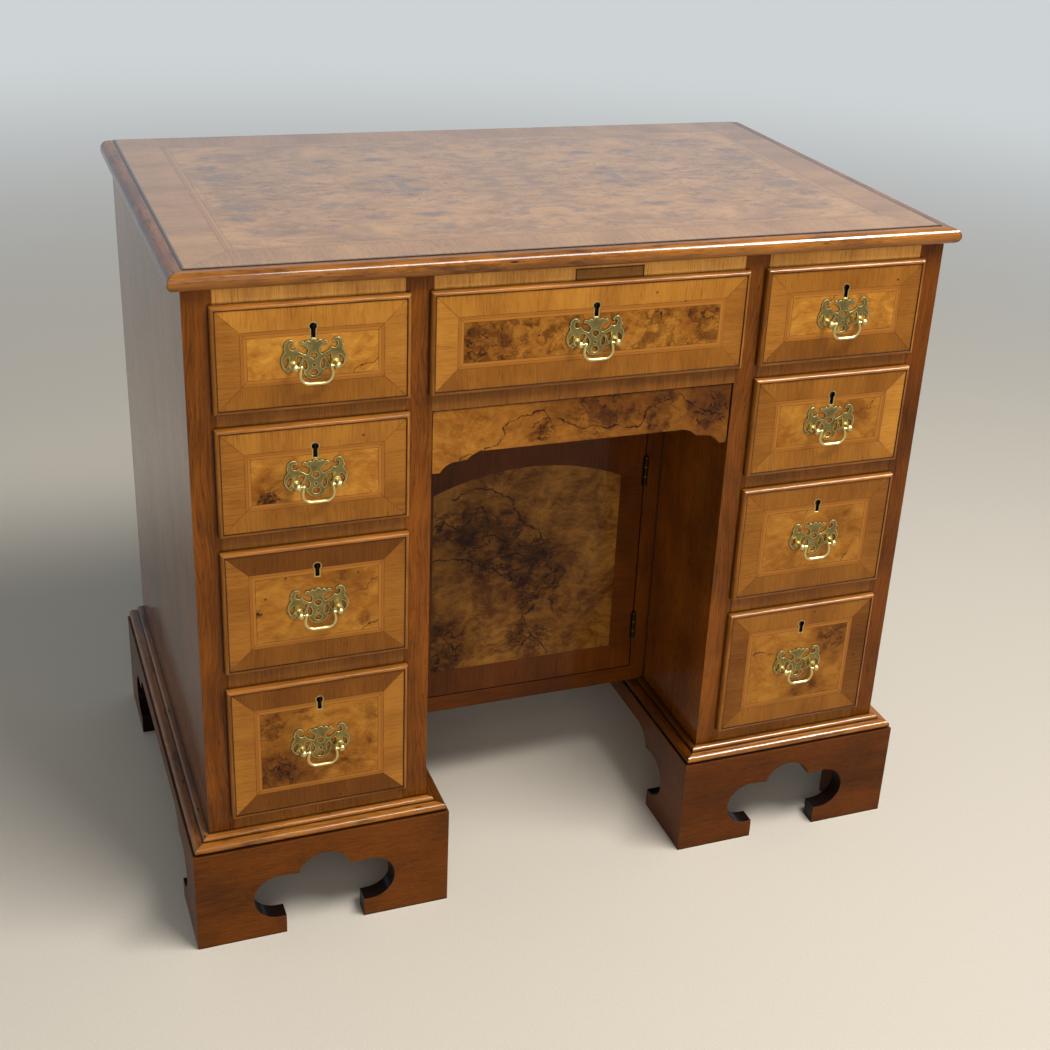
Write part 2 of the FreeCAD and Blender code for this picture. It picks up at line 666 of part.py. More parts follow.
def make_base_mouldings():
    """A large round with a smaller step above it, on the three moulded sides of each plinth."""
    torus_x = "-(base_lip - torus_height / 2)"
    step_arc = "base_step_round * corner_share"
    profile = (
        ("0", "0"),
        (
            (torus_x, "0"),
            ("-base_lip", "torus_height / 2", torus_x, "torus_height"),
            ("-base_step", "torus_height"),
            ("-base_step", "torus_height - base_quirk"),
            ("-(base_step - base_quirk)", "torus_height - base_quirk"),
            ("-(base_step - base_quirk)", "base_moulding_height - base_step_round"),
            (
                f"-(base_step - base_quirk - {step_arc})",
                f"base_moulding_height - {step_arc}",
                "-(base_step - base_quirk - base_step_round)",
                "base_moulding_height",
            ),
            ("0", "base_moulding_height"),
            ("0", "0"),
        ),
    )
    strips = three_strips(
        "BaseMoulding",
        profile,
        "pedestal_width + 2 * base_lip",
        "carcase_depth + base_lip",
        "base_lip",
        "base_moulding_height",
    )
    front, outer, inner = strips
    put(front, "-pedestal_width / 2 - base_lip", "0")
    put(outer, "-pedestal_width / 2", "carcase_depth")
    put(inner, "pedestal_width / 2", "-base_lip")
    left = group("LeftBaseMoulding", strips, "-pedestal_axis")
    right = group("RightBaseMoulding", strips, "pedestal_axis")
    node("base_mouldings", [left, right], z="plinth_height")


def make_glue_blocks():
    """Corner blocks in each plinth, which carry the pedestal's sides."""
    inset = "plinth_projection - bracket_thickness"
    size = ("block_width", "block_width", "plinth_height - block_lift")
    left_x = f"-pedestal_width / 2 - ({inset})"
    right_x = f"pedestal_width / 2 + {inset} - block_width"
    front_y = f"-({inset})"
    back_y = "carcase_depth - bracket_thickness - block_width"
    blocks = [
        board("FrontLeftBlock", size, (left_x, front_y, "block_lift")),
        board("FrontRightBlock", size, (right_x, front_y, "block_lift")),
        board("BackLeftBlock", size, (left_x, back_y, "block_lift")),
        board("BackRightBlock", size, (right_x, back_y, "block_lift")),
    ]
    left = group("LeftBlocks", blocks, "-pedestal_axis")
    right = group("RightBlocks", blocks, "pedestal_axis")
    node("glue_blocks", [left, right])


# Cupboard in the kneehole
def hinge_places():
    return "hinge_inset", "door_height - hinge_inset - hinge_length"


def leaf_beds(name, x):
    """Blanks for the beds that the hinge leaves are let into, from the door's foot."""
    size = ("leaf_thickness", "leaf_depth", "hinge_length")
    return [
        board(f"{name}{index}", size, (x, "cupboard_setback", f"door_base + {low}"))
        for index, low in enumerate(hinge_places(), 1)
    ]


def make_cupboard():
    tall = "dust_base - floor_base"
    size = ("frame_width", "frame_depth", tall)
    left = board("LeftCupboardStile", size, ("-kneehole_width / 2", "cupboard_setback", "floor_base"))
    blank = board(
        "RightCupboardStile", size, ("kneehole_width / 2 - frame_width", "cupboard_setback", "floor_base")
    )
    right = cut("HingedStile", blank, leaf_beds("StileBed", "kneehole_width / 2 - frame_width"))
    width = "kneehole_width - 2 * frame_width"
    low = board(
        "CupboardBottomRail",
        (width, "frame_depth", "frame_width"),
        (f"-({width}) / 2", "cupboard_setback", "floor_base"),
    )
    high = board(
        "CupboardTopRail",
        (width, "frame_depth", "dust_base - door_top - door_gap"),
        (f"-({width}) / 2", "cupboard_setback", "door_top + door_gap"),
    )
    node("cupboard_frame", [left, right, low, high])
    behind = "(cupboard_setback + frame_depth)"
    floor = board(
        "CupboardFloor",
        ("kneehole_width", f"inner_depth - {behind}", "frame_width"),
        ("-kneehole_width / 2", behind, "floor_base"),
    )
    shelf = board(
        "CupboardShelf",
        ("kneehole_width", f"inner_depth - {behind} - shelf_setback", "shelf_thickness"),
        ("-kneehole_width / 2", f"{behind} + shelf_setback", "floor_base + frame_width + shelf_rise"),
    )
    node("cupboard_boards", [floor, shelf])


def hinge_leaf(name, x, knuckles):
    """One leaf: a plate let into the wood, bent round the pin in some of the knuckles."""
    plate = board(
        name + "Plate",
        ("leaf_thickness", "leaf_depth + barrel_diameter / 2", "hinge_length"),
        (x, "cupboard_setback - barrel_diameter / 2", "0"),
    )
    rounds = []
    for index, (low, tall) in enumerate(knuckles):
        rounds.append(rod(f"{name}Knuckle{index}", "barrel_diameter", tall, ("hinge_x", "hinge_y", low)))
    return plate, rounds


def make_hinges():
    tall = "(hinge_length - 2 * knuckle_gap) / 3"
    middle = (f"{tall} + knuckle_gap", tall)
    ends = (("0", tall), (f"2 * ({tall} + knuckle_gap)", tall))
    bore = ("hinge_x", "hinge_y", "-overrun")
    bore_size = ("pin_diameter + pin_fit", "hinge_length + 2 * overrun")
    clear_size = "barrel_diameter + 2 * knuckle_gap"
    plate, rounds = hinge_leaf("FrameLeaf", "kneehole_width / 2 - frame_width", ends)
    room = rod("DoorKnuckleRoom", clear_size, f"{tall} + 2 * knuckle_gap", ("hinge_x", "hinge_y", tall))
    frame_leaf = cut(
        "FrameLeafBent",
        fuse("FrameLeafBlank", [cut("FrameLeafCleared", plate, [room]), *rounds]),
        [rod("FrameLeafBore", *bore_size, bore)],
    )
    plate, rounds = hinge_leaf("DoorLeaf", "door_width / 2 - leaf_thickness", [middle])
    end_room = f"{tall} + knuckle_gap"
    rooms = [
        rod("LowKnuckleRoom", clear_size, end_room, ("hinge_x", "hinge_y", "0")),
        rod("HighKnuckleRoom", clear_size, end_room, ("hinge_x", "hinge_y", f"{end_room} + {tall}")),
    ]
    door_leaf = cut(
        "DoorLeafBent",
        fuse("DoorLeafBlank", [cut("DoorLeafCleared", plate, rooms), *rounds]),
        [rod("DoorLeafBore", *bore_size, bore)],
    )
    pin = rod("HingePin", "pin_diameter", "hinge_length", ("hinge_x", "hinge_y", "0"))
    fixed = []
    swinging = []
    for index, low in enumerate(hinge_places(), 1):
        fixed.append(group(f"FixedHinge{index}", [frame_leaf, pin], z=f"door_base + {low}"))
        swinging.append(group(f"DoorHinge{index}", [door_leaf], z=f"door_base + {low}"))
    node("frame_hinges", fixed)
    return swinging


def make_door(swinging, liner, key_room, lock, lock_room):
    blank = board(
        "DoorBoard",
        ("door_width", "door_thickness", "door_height"),
        ("-door_width / 2", "cupboard_setback", "door_base"),
    )
    key_x = "-door_width / 2 + lock_top"
    key_z = "door_base + door_height / 2"
    key_place = (key_x, "cupboard_setback + face_proud", key_z)
    lock_place = (key_x, "cupboard_setback + door_thickness - core_thickness", key_z)
    key_hole = group("DoorKeyRoom", [key_room], *key_place)
    lock_hole = turn(group("DoorLockRoom", [lock_room], *lock_place), Y_AXIS, -90)
    door_lock = turn(group("DoorLock", lock, *lock_place), Y_AXIS, -90)
    beds = leaf_beds("DoorBed", "door_width / 2 - leaf_thickness")
    node("cupboard_door", [cut("Door", blank, [*beds, key_hole, lock_hole])])
    node("cupboard_door_brass", [*swinging, group("DoorLiner", [liner], *key_place), door_lock])


# Drawers
def keyhole_outline(radius, shoulder, mouth, foot):
    """A round head over a slot, closed."""
    return (f"-{mouth}", f"-{foot}"), (
        (mouth, f"-{foot}"),
        (mouth, f"-{shoulder}"),
        ("0", radius, f"-{mouth}", f"-{shoulder}"),
        (f"-{mouth}", f"-{foot}"),
    )


def make_liner():
    """The keyhole's brass liner, let in flush, and the room that it and the key take in the wood."""
    outer = keyhole_outline("key_radius", "key_shoulder", "key_mouth", "key_length")
    inner = keyhole_outline("key_eye", "key_neck", "key_way", "(key_length - key_wall)")
    liner = extruded("KeyholeLiner", "XZ_Plane", [outer, inner], "liner_depth", True)
    bed = extruded("LinerBed", "XZ_Plane", [outer], "liner_depth", True)
    way = extruded("KeyWay", "XZ_Plane", [inner], "lip_proud + core_thickness + overrun", True)
    room = fuse("KeyRoom", [bed, way])
    return put(liner, y="-face_proud"), put(room, y="-face_proud")


def make_lock():
    """A lock case let into the back of a drawer front, with its bolt drawn back, counted from the keyhole."""
    size = ("lock_width", "lock_depth", "lock_height")
    corner = ("-lock_width / 2", "core_thickness - lock_depth", "lock_top - lock_height")
    room = board("LockRoom", size, corner)
    bolt_y = "core_thickness - (lock_depth + bolt_depth) / 2"
    bolt_low = "lock_top - bolt_height"
    slot = board(
        "BoltSlot",
        ("bolt_width + 2 * bolt_fit", "bolt_depth + 2 * bolt_fit", "bolt_height + overrun"),
        ("-bolt_width / 2 - bolt_fit", f"{bolt_y} - bolt_fit", bolt_low),
    )
    case = cut("LockCase", board("LockBlank", size, corner), [slot])
    bolt_size = ("bolt_width", "bolt_depth", "bolt_height")
    bolt = board("LockBolt", bolt_size, ("-bolt_width / 2", bolt_y, bolt_low))
    return [case, bolt], room


def plate_place(across, up):
    return f"{across} * plate_width / 2", f"{up} * plate_height - plate_foot"


def plate_steps(shares):
    return [
        plate_place(*step) if len(step) == 2 else plate_place(*step[:2]) + plate_place(*step[2:])
        for step in shares
    ]


def make_back_plate():
    """The pierced back plate: half its outline with three openings, mirrored, and a hole for each post."""
    body = new_body("BackPlate")
    sketch = new_sketch(body, "BackPlateHalf", "XZ_Plane", "face_proud")
    draw_loop(sketch, plate_place(*PLATE_EDGE_SHARES[-1]), plate_steps(PLATE_EDGE_SHARES))
    for start, *steps in PLATE_OPENING_SHARES:
        draw_loop(sketch, plate_place(*start), plate_steps(steps))
    draw_circle(sketch, ("post_spacing / 2", "0"), "shank_diameter + shank_fit")
    half = pad(body, sketch, "plate_thickness")
    whole = body.newObject("PartDesign::Mirrored", "BackPlateWhole")
    whole.Originals = [half]
    whole.MirrorPlane = (next(o for o in body.Origin.OriginFeatures if o.Role == "YZ_Plane"), [""])
    body.Tip = whole
    return body


def make_post():
    """A ball-headed post through the plate and the drawer front, bored for the bail's pivot."""
    face = "-face_proud - plate_thickness"
    tail = "core_thickness + nut_height + shank_tail"
    shank = rod("PostShank", "shank_diameter", f"{tail} - ({face})", ("0", face, "0"), Y_AXIS)
    collar_start = ("0", f"{face} - collar_height", "0")
    collar = rod("PostCollar", "collar_diameter", "collar_height", collar_start, Y_AXIS)
    stem = rod("PostStem", "stem_diameter", "post_standoff", ("0", "-bail_axis", "0"), Y_AXIS)
    head = ball("PostBall", "ball_diameter", ("0", "-bail_axis", "0"))
    bore = rod(
        "PivotBore",
        "pivot_diameter + pivot_fit",
        "ball_diameter + 2 * overrun",
        ("-ball_diameter / 2 - overrun", "-bail_axis", "0"),
        X_AXIS,
    )
    post = cut("Post", fuse("PostBlank", [shank, collar, stem, head]), [bore])
    nut_blank = doc.addObject("Part::Prism", "NutBlank")
    nut_blank.Placement.Rotation = FreeCAD.Rotation(Z_AXIS, Y_AXIS)
    bind(nut_blank, Circumradius="nut_diameter / 2", Height="nut_height")
    put(nut_blank, y="core_thickness")
    hole = rod(
        "NutHole",
        "shank_diameter",
        "nut_height + 2 * overrun",
        ("0", "core_thickness - overrun", "0"),
        Y_AXIS,
    )
    return [post, cut("Nut", nut_blank, [hole])]


def make_bail():
    """The swinging handle: a bar bent to a U, with a pivot at the top of each leg, counted from its axis."""
    body = new_body("BailBar")
    leg = "bail_spacing / 2"
    belly = "bail_belly / 2"
    bow = f"{belly} - (bail_belly - bail_spacing) / 8"
    bend = "bail_round * corner_share"
    path = new_sketch(body, "BailPath", "XZ_Plane")
    draw_loop(
        path,
        (f"-{leg}", "0"),
        (
            (f"-({bow})", "-(bail_drop - bail_round) / 2", f"-{belly}", "-(bail_drop - bail_round)"),
            (f"-({belly} - {bend})", f"-(bail_drop - {bend})", f"-({belly} - bail_round)", "-bail_drop"),
            (f"{belly} - bail_round", "-bail_drop"),
            (f"{belly} - {bend}", f"-(bail_drop - {bend})", belly, "-(bail_drop - bail_round)"),
            (bow, "-(bail_drop - bail_round) / 2", leg, "0"),
        ),
    )
    section = new_sketch(body, "BailSection", "XY_Plane")
    draw_circle(section, (f"-{leg}", "0"), "bail_diameter")
    pipe = body.newObject("PartDesign::AdditivePipe", "BailPipe")
    pipe.Profile = section
    pipe.Spine = path
    body.Tip = pipe
    pieces = [body]
    reach = f"post_spacing / 2 - {leg} + pivot_reach"
    for hand, x in (("Left", f"-{leg}"), ("Right", leg)):
        pieces.append(ball(hand + "BailKnob", "knob_diameter", (x, "0", "0")))
        start = f"-{leg} - ({reach})" if hand == "Left" else leg
        pieces.append(rod(hand + "BailPivot", "pivot_diameter", reach, (start, "0", "0"), X_AXIS))
    return fuse("Bail", pieces)


def lipped_face(name, width, height):
    """The moulded lip round a drawer's face: its edge is rounded, and the veneer lies just below it."""
    body = new_body(name)
    half_width = f"({width}) / 2"
    half_height = f"{height} / 2"
    edge = new_sketch(body, name + "Edge", "XZ_Plane")
    draw_loop(edge, *rectangle(f"-{half_width}", f"-{half_height}", half_width, half_height))
    pad(body, edge, "lip_proud")
    field = new_sketch(body, name + "Field", "XZ_Plane", "lip_proud")
    in_width = f"({half_width} - bead_width)"
    in_height = f"({half_height} - bead_width)"
    draw_loop(field, *rectangle(f"-{in_width}", f"-{in_height}", in_width, in_height))
    veneer = body.newObject("PartDesign::Pocket", name + "Veneer")
    veneer.Profile = field
    bind(veneer, Length="bead_height")
    doc.recompute()
    rounded = body.newObject("PartDesign::Fillet", name + "Bead")
    front = -number("lip_proud")
    outside = (number(half_width) - NEAR, number(half_height) - NEAR)
    edges = []
    for index, line in enumerate(veneer.Shape.Edges, 1):
        middle = line.CenterOfMass
        at_rim = abs(middle.x) > outside[0] or abs(middle.z) > outside[1]
        if abs(middle.y - front) < NEAR and at_rim:
            edges.append(f"Edge{index}")
    rounded.Base = (veneer, edges)
    bind(rounded, Radius="bead_width - bead_flat")
    return body


def drawer_box(name, opening, low, high, front, depth):
    """Two sides, a back and a bottom board behind a drawer's front."""
    wide = f"({opening} - 2 * drawer_clearance)"
    run = f"({depth} - {front})"
    tall = f"({high} - ({low}))"
    floor = f"{low} + bottom_rise"
    inside = f"{wide} - 2 * lining_thickness"
    side = ("lining_thickness", run, tall)
    return [
        board(name + "LeftSide", side, (f"-{wide} / 2", front, low)),
        board(name + "RightSide", side, (f"{wide} / 2 - lining_thickness", front, low)),
        board(
            name + "Back",
            (inside, "lining_thickness", f"{tall} - lining_drop - bottom_rise - bottom_thickness"),
            (f"-({inside}) / 2", f"{depth} - lining_thickness", f"{floor} + bottom_thickness"),
        ),
        board(name + "Bottom", (inside, run, "bottom_thickness"), (f"-({inside}) / 2", front, floor)),
    ]


def make_drawers():
    posts = make_post()
    hands = [group("LeftPost", posts, "-post_spacing / 2"), group("RightPost", posts, "post_spacing / 2")]
    handle = [make_back_plate(), *hands]
    bail = make_bail()
    liner, key_room = make_liner()
    lock, lock_room = make_lock()
    bore_size = ("shank_diameter + shank_fit", "lip_proud + core_thickness + 2 * overrun")
    bores = [
        rod(f"PostBore{hand}", *bore_size, (x, "-lip_proud - overrun", "0"), Y_AXIS)
        for hand, x in (("Left", "-post_spacing / 2"), ("Right", "post_spacing / 2"))
    ]
    banks = [("long_drawer", "Long", "kneehole_width", ROWS[0], "0")]
    for row in ROWS:
        banks.append((f"left_drawer_{row}", f"Row{row}", "opening_width", row, "-pedestal_axis"))
        banks.append((f"right_drawer_{row}", f"Row{row}", "opening_width", row, "pedestal_axis"))
    made = {}
    for label, name, opening, row, x in banks:
        height = f"row_{row}_height"
        drop = f"row_{row}_handle_drop"
        if name not in made:
            key_place = f"{height} / 2 - key_drop"
            half = f"({height} / 2 - lip_overlap)"
            low = f"-{half} + runner_gap"
            high = f"{half} - top_clearance"
            wide = f"({opening} - 2 * drawer_clearance)"
            core = board(
                name + "Core",
                (wide, "core_thickness", f"{high} - ({low})"),
                (f"-{wide} / 2", "0", low),
            )
            face = lipped_face(name + "Face", f"{opening} + 2 * lip_overlap", height)
            holes = [
                group(name + "PostBores", bores, z=f"-{drop}"),
                group(name + "KeyRoom", [key_room], z=key_place),
                group(name + "LockRoom", [lock_room], z=key_place),
            ]
            brass = [
                group(name + "Handle", handle, z=f"-{drop}"),
                group(name + "Lock", [liner, *lock], z=key_place),
            ]
            made[name] = (
                cut(name + "Front", fuse(name + "Blank", [face, core]), holes),
                drawer_box(name, opening, low, high, "core_thickness", "drawer_depth"),
                brass,
            )
        front, box, brass = made[name]
        height_of_row = f"row_{row}_base + {height} / 2 - lip_overlap"
        node(label + "_front", [front], x, z=height_of_row)
        node(label + "_box", box, x, z=height_of_row)
        node(label + "_brass", brass, x, z=height_of_row)
        node(label + "_bail", [bail], x, "front_plane - bail_axis", f"{height_of_row} - {drop}")
    return liner, key_room, lock, lock_room


def apron_outline():
    """The apron's shaped lower edge, the same from both ends, counted from its tips."""
    width = "kneehole_width - 2 * apron_gap"
    ogee = "apron_tip_width + ogee_run"
    ledge = f"{ogee} + ledge_run"
    cove = f"{ledge} + cove_run"
    ogee_bend = ("apron_tip_width + ogee_run * ogee_bend_share", "ogee_rise * ogee_swell_share")
    cove_up = "ogee_rise + ledge_rise + cove_rise * cove_swell_share"
    cove_bend = (f"{ledge} + cove_run * cove_bend_share", cove_up)
    step = (ledge, "ogee_rise + ledge_rise")
    half = [
        ("apron_tip_width", "0"),
        (*ogee_bend, ogee, "ogee_rise"),
        step,
        (*cove_bend, cove, "apron_rise"),
    ]
    far = [(f"{width} - ({x})", z) for x, z in ((cove, "apron_rise"), step)]
    far_ogee = (f"{width} - ({ogee})", "ogee_rise")
    return ("0", "0"), [
        *half,
        far[0],
        (f"{width} - ({cove_bend[0]})", cove_bend[1], *far[1]),
        far_ogee,
        (f"{width} - ({ogee_bend[0]})", ogee_bend[1], f"{width} - apron_tip_width", "0"),
        (width, "0"),
        (width, "apron_height"),
        ("0", "apron_height"),
        ("0", "0"),
    ]


def make_apron_drawer():
    front = extruded("ApronFront", "XZ_Plane", [apron_outline()], "apron_thickness", True)
    put(front, "-kneehole_width / 2 + apron_gap", "apron_setback", "apron_base")
    node("apron_drawer_front", [front])
    low = "bearer_top + runner_gap"
    face = "(apron_setback + apron_thickness)"
    node("apron_drawer_box", drawer_box(
        "Apron", "kneehole_width", low, f"{low} + apron_box_height", face, "apron_depth"
    ))


make_top()
make_sides()
make_rails()
make_guides()
make_back()
make_plinth()
make_base_mouldings()
make_glue_blocks()
make_cupboard()
shared_fittings = make_drawers()
make_door(make_hinges(), *shared_fittings)
make_apron_drawer()
doc.recompute()

for thing in doc.Objects:
    if "Invalid" in thing.State or "Error" in thing.State:
        raise RuntimeError(f"{thing.Name} did not build")
for sub_part in nodes:
    shape = sub_part.Shape
    if shape.isNull() or not shape.isValid() or not shape.Solids:
        raise RuntimeError(f"{sub_part.Label} has no sound shape")
os.makedirs("parts", exist_ok=True)
for sub_part in nodes:
    sub_part.Shape.exportStep(f"parts/{sub_part.Label}.step")
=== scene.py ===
import math
from functools import partialmethod

import bpy
from bpy.props import FloatProperty, FloatVectorProperty, PointerProperty
from mathutils import Matrix, Vector


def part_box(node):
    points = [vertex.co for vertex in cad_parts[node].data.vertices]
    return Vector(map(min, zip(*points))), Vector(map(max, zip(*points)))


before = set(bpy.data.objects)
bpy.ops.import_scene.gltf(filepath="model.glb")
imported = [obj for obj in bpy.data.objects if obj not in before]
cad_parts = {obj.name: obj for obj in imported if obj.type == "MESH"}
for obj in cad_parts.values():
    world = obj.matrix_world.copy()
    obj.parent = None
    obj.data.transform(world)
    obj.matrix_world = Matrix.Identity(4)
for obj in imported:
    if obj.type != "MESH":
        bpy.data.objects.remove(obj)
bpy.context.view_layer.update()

bl_info = {
    "name": "Kneehole Desk Finishes",
    "version": (1, 0, 0),
    "blender": (4, 5, 0),
    "location": "View3D > Sidebar > Desk",
    "description": "Veneers, polish, brass and a studio for a walnut kneehole desk",
    "category": "Object",
}

# Brightness of each drawer's crossband (top, right, bottom, left) and panel, and the panel's dark burr
DRAWER_SHARES = {
    "long_drawer": ((1.08, 0.85, 0.75, 1.1), 0.76, 0.55),
    "left_drawer_1": ((1.12, 1.0, 0.7, 0.86), 1.08, 0.05),
    "left_drawer_2": ((1.05, 0.85, 0.8, 0.85), 0.98, 0.1),
    "left_drawer_3": ((0.38, 0.82, 0.55, 0.84), 0.82, 0.1),
    "left_drawer_4": ((0.5, 1.05, 0.42, 0.95), 0.84, 0.26),
    "right_drawer_1": ((0.78, 0.72, 0.62, 0.95), 1.0, 0.08),
    "right_drawer_2": ((0.75, 1.25, 0.85, 0.72), 0.82, 0.1),
    "right_drawer_3": ((0.7, 0.7, 0.65, 0.78), 0.82, 0.08),
    "right_drawer_4": ((0.8, 0.45, 0.7, 0.5), 0.8, 0.12),
}
# Patches of dark burr as shares of a face's half width and height: across, up, reach, depth
BLOT_SHARES = {
    "long_drawer": ((-0.72, -0.05, 0.75, 0.75), (0.72, 0.25, 0.6, 0.75), (0.45, 0.3, 0.3, 0.75)),
    "left_drawer_1": ((0.77, -0.15, 0.1, 1.0), (-0.45, -0.3, 0.35, 0.25)),
    "left_drawer_2": ((-0.52, -0.42, 0.42, 0.85), (-0.4, 0.02, 0.35, 0.45), (0.97, 0.95, 0.1, 1.0)),
    "left_drawer_3": ((-0.67, -0.02, 0.16, 0.9), (0.3, 0.42, 0.3, 0.4), (0.5, -0.45, 0.3, 0.3)),
    "left_drawer_4": (
        (-0.5, -0.4, 0.5, 0.8), (-0.55, 0.3, 0.45, 0.6), (-0.2, 0.5, 0.35, 0.5), (0.35, -0.1, 0.45, 0.45),
        (0.8, -0.9, 0.07, 1.0),
    ),
    "right_drawer_1": ((0.5, -0.42, 0.35, 0.5), (-0.85, -0.25, 0.06, 0.9)),
    "right_drawer_2": ((0.5, 0.2, 0.4, 0.5), (0.86, -0.88, 0.2, 0.9), (-0.74, 0.55, 0.06, 1.0)),
    "right_drawer_3": ((0.4, 0.35, 0.35, 0.35), (0.9, 0.88, 0.12, 0.8)),
    "right_drawer_4": ((0.48, 0.43, 0.45, 0.6), (0.1, -0.4, 0.45, 0.5), (0.45, -0.62, 0.12, 0.8)),
    "apron": (
        (-0.03, 0.9, 0.3, 1.0), (0.72, 0.7, 0.4, 1.0), (0.5, -0.1, 0.2, 1.0), (0.95, -0.25, 0.25, 1.0),
        (-0.3, 0.1, 0.8, 0.7), (0.1, 0.4, 1.6, 0.62), (0.5, 0.2, 1.4, 0.62), (0.85, 0.3, 1.2, 0.8),
    ),
    "door": (
        (-0.3, 0.2, 0.42, 0.9), (0.02, 0.02, 0.34, 0.95), (0.12, -0.3, 0.3, 0.9), (0.05, -0.62, 0.25, 0.9),
        (-0.8, -0.65, 0.42, 0.85), (-0.62, 0.38, 0.25, 1.0), (0.24, -0.14, 0.14, 1.0),
    ),
}
# Smooth brown stains as shares of a face's half width and height: across, up, reach, depth
STAIN_SHARES = {
    "long_drawer": ((-0.72, 0.0, 1.0, 0.4), (0.7, 0.2, 0.7, 0.25), (-0.3, 0.3, 0.5, 0.15)),
    "left_drawer_1": ((-0.5, 0.3, 0.4, 0.15), (0.4, -0.5, 0.4, 0.2)),
    "left_drawer_2": ((-0.5, -0.25, 0.6, 0.35), (-0.35, 0.2, 0.4, 0.2)),
    "left_drawer_3": ((0.35, 0.35, 0.5, 0.3), (-0.1, -0.5, 0.4, 0.15)),
    "left_drawer_4": ((-0.5, -0.35, 0.7, 0.5), (-0.45, 0.4, 0.5, 0.35), (0.3, -0.2, 0.5, 0.2)),
    "right_drawer_1": ((0.5, -0.4, 0.5, 0.25),),
    "right_drawer_2": ((0.35, 0.1, 0.5, 0.3), (-0.3, 0.5, 0.3, 0.2)),
    "right_drawer_3": ((0.3, 0.3, 0.6, 0.25), (-0.4, -0.4, 0.4, 0.15)),
    "right_drawer_4": ((0.45, 0.35, 0.6, 0.4), (0.2, -0.4, 0.5, 0.25)),
    "door": (
        (-0.35, 0.15, 0.5, 0.35), (0.05, -0.1, 0.5, 0.4), (-0.8, -0.6, 0.5, 0.5), (0.55, -0.5, 0.6, 0.3),
    ),
    "apron": (
        (0.85, 0.7, 1.2, 0.45), (-0.15, 0.8, 0.8, 0.35), (0.2, 0.7, 1.0, 0.35), (0.5, 0.8, 0.8, 0.35),
        (-0.35, 0.1, 0.5, 0.2),
    ),
}
# Ink lines drawn from point to point, as shares of a face's half width and height: across, up
TRAIL_SHARES = {
    "long_drawer": (
        ((-0.59, 0.52), (-0.595, 0.0), (-0.575, -0.55)),
        ((0.34, 0.05), (0.38, 0.3), (0.47, 0.52), (0.56, 0.58)),
    ),
    "left_drawer_1": (((0.38, -0.5), (0.52, -0.28), (0.76, -0.13)),),
    "left_drawer_3": (
        ((-0.7, -0.1), (-0.64, 0.08)),
        ((0.4, 0.12), (0.55, 0.24), (0.68, 0.34)),
        ((0.5, -0.52), (0.68, -0.38)),
    ),
    "right_drawer_1": (((-0.1, 0.5), (-0.2, 0.2), (-0.3, 0.05)),),
    "right_drawer_2": (((0.4, 0.2), (0.55, 0.3), (0.62, 0.42)),),
    "right_drawer_3": (((0.4, -0.62), (0.52, -0.4)), ((-0.15, 0.6), (-0.2, 0.3))),
    "right_drawer_4": (((-0.67, 0.3), (-0.42, 0.28)), ((-0.6, -0.62), (-0.5, -0.75))),
    "apron": (
        (
            (-0.83, -0.73), (-0.8, -0.45), (-0.74, -0.49), (-0.59, -0.21), (-0.54, 0.08), (-0.55, 0.37),
            (-0.48, 0.47), (-0.4, 0.65), (-0.3, 0.66), (-0.24, 0.41), (-0.3, -0.04),
        ),
        ((-0.83, -0.73), (-0.78, -0.72), (-0.74, -0.49)),
        ((-0.19, 0.45), (-0.03, 0.05), (0.16, -0.07), (0.37, -0.15), (0.42, 0.38), (0.56, 0.71)),
        ((0.63, 0.79), (0.73, 0.42), (0.82, 0.12), (0.92, -0.02), (0.98, 0.23)),
    ),
    "door": (
        ((-0.79, 0.39), (-0.71, 0.43), (-0.58, 0.36), (-0.49, 0.4), (-0.4, 0.52), (-0.36, 0.43)),
        (
            (-0.63, 0.58), (-0.44, 0.64), (-0.29, 0.61), (-0.14, 0.54), (-0.11, 0.44), (-0.02, 0.31),
            (0.1, 0.27), (0.12, 0.18),
        ),
        ((-0.48, 0.27), (-0.3, 0.28), (-0.19, 0.2), (-0.25, 0.09), (-0.07, 0.09), (0.08, 0.04)),
        ((-0.8, 0.13), (-0.55, 0.11), (-0.37, 0.04), (-0.19, -0.08)),
        ((0.18, -0.11), (0.28, -0.1), (0.24, -0.19), (0.14, -0.22)),
        ((0.09, -0.35), (0.0, -0.43), (0.06, -0.6), (-0.01, -0.69)),
        ((0.06, -0.6), (0.17, -0.69), (0.22, -0.77)),
    ),
}
DRAWERS = tuple(DRAWER_SHARES)
# Each lamp's place, its width and depth, and its power in watts
LAMPS = {
    "key": ((0.9, -1.25, 2.75), (1.8, 0.6), 98.0),
    "fill": ((-0.7, -3.2, 1.9), (2.4, 2.4), 28.0),
    "card": ((1.65, -1.2, 2.7), (1.1, 0.6), 170.0),
}
# Point that every lamp faces
LAMP_AIM = (0.0, 0.0, 0.45)
# Patch in the top rail: its middle right of the desk's, half its length, its top over the rail's foot
PATCH_PLACE = 0.015
PATCH_REACH = 0.036
PATCH_HEIGHT = 0.0155
# Dovetails: pitch, half a tail's share of it in front, its loss per metre going back, lap before them
TAIL_PITCH = 0.026
TAIL_SHARE = 0.4
TAIL_LOSS = 9.0
TAIL_LAP = 0.003
# Painted shade: brightness of the right pedestal's outer side and its plinth, against the left's.
# Painted light: brightness of the rails under the top, lit against the shade of the top's overhang
RIGHT_PAINTED_SHADE = 0.78
TOP_RAIL_PAINTED_LIGHT = 2.9
# Bracket feet: gap between the moulding and the sawn edges, reach of the back brackets from the back
SAWN_GAP = 0.002
BACK_REACH = 0.03
# From a drawer's face: out to where its brass stands proud and is rubbed bright, in to where its keyhole is
# painted black as shade
HANDLED_DEPTH = 0.0012
KEYHOLE_DEPTH = 0.0008
# Rounding of the edges of the apron and the door
WOOD_EASE = 0.0006


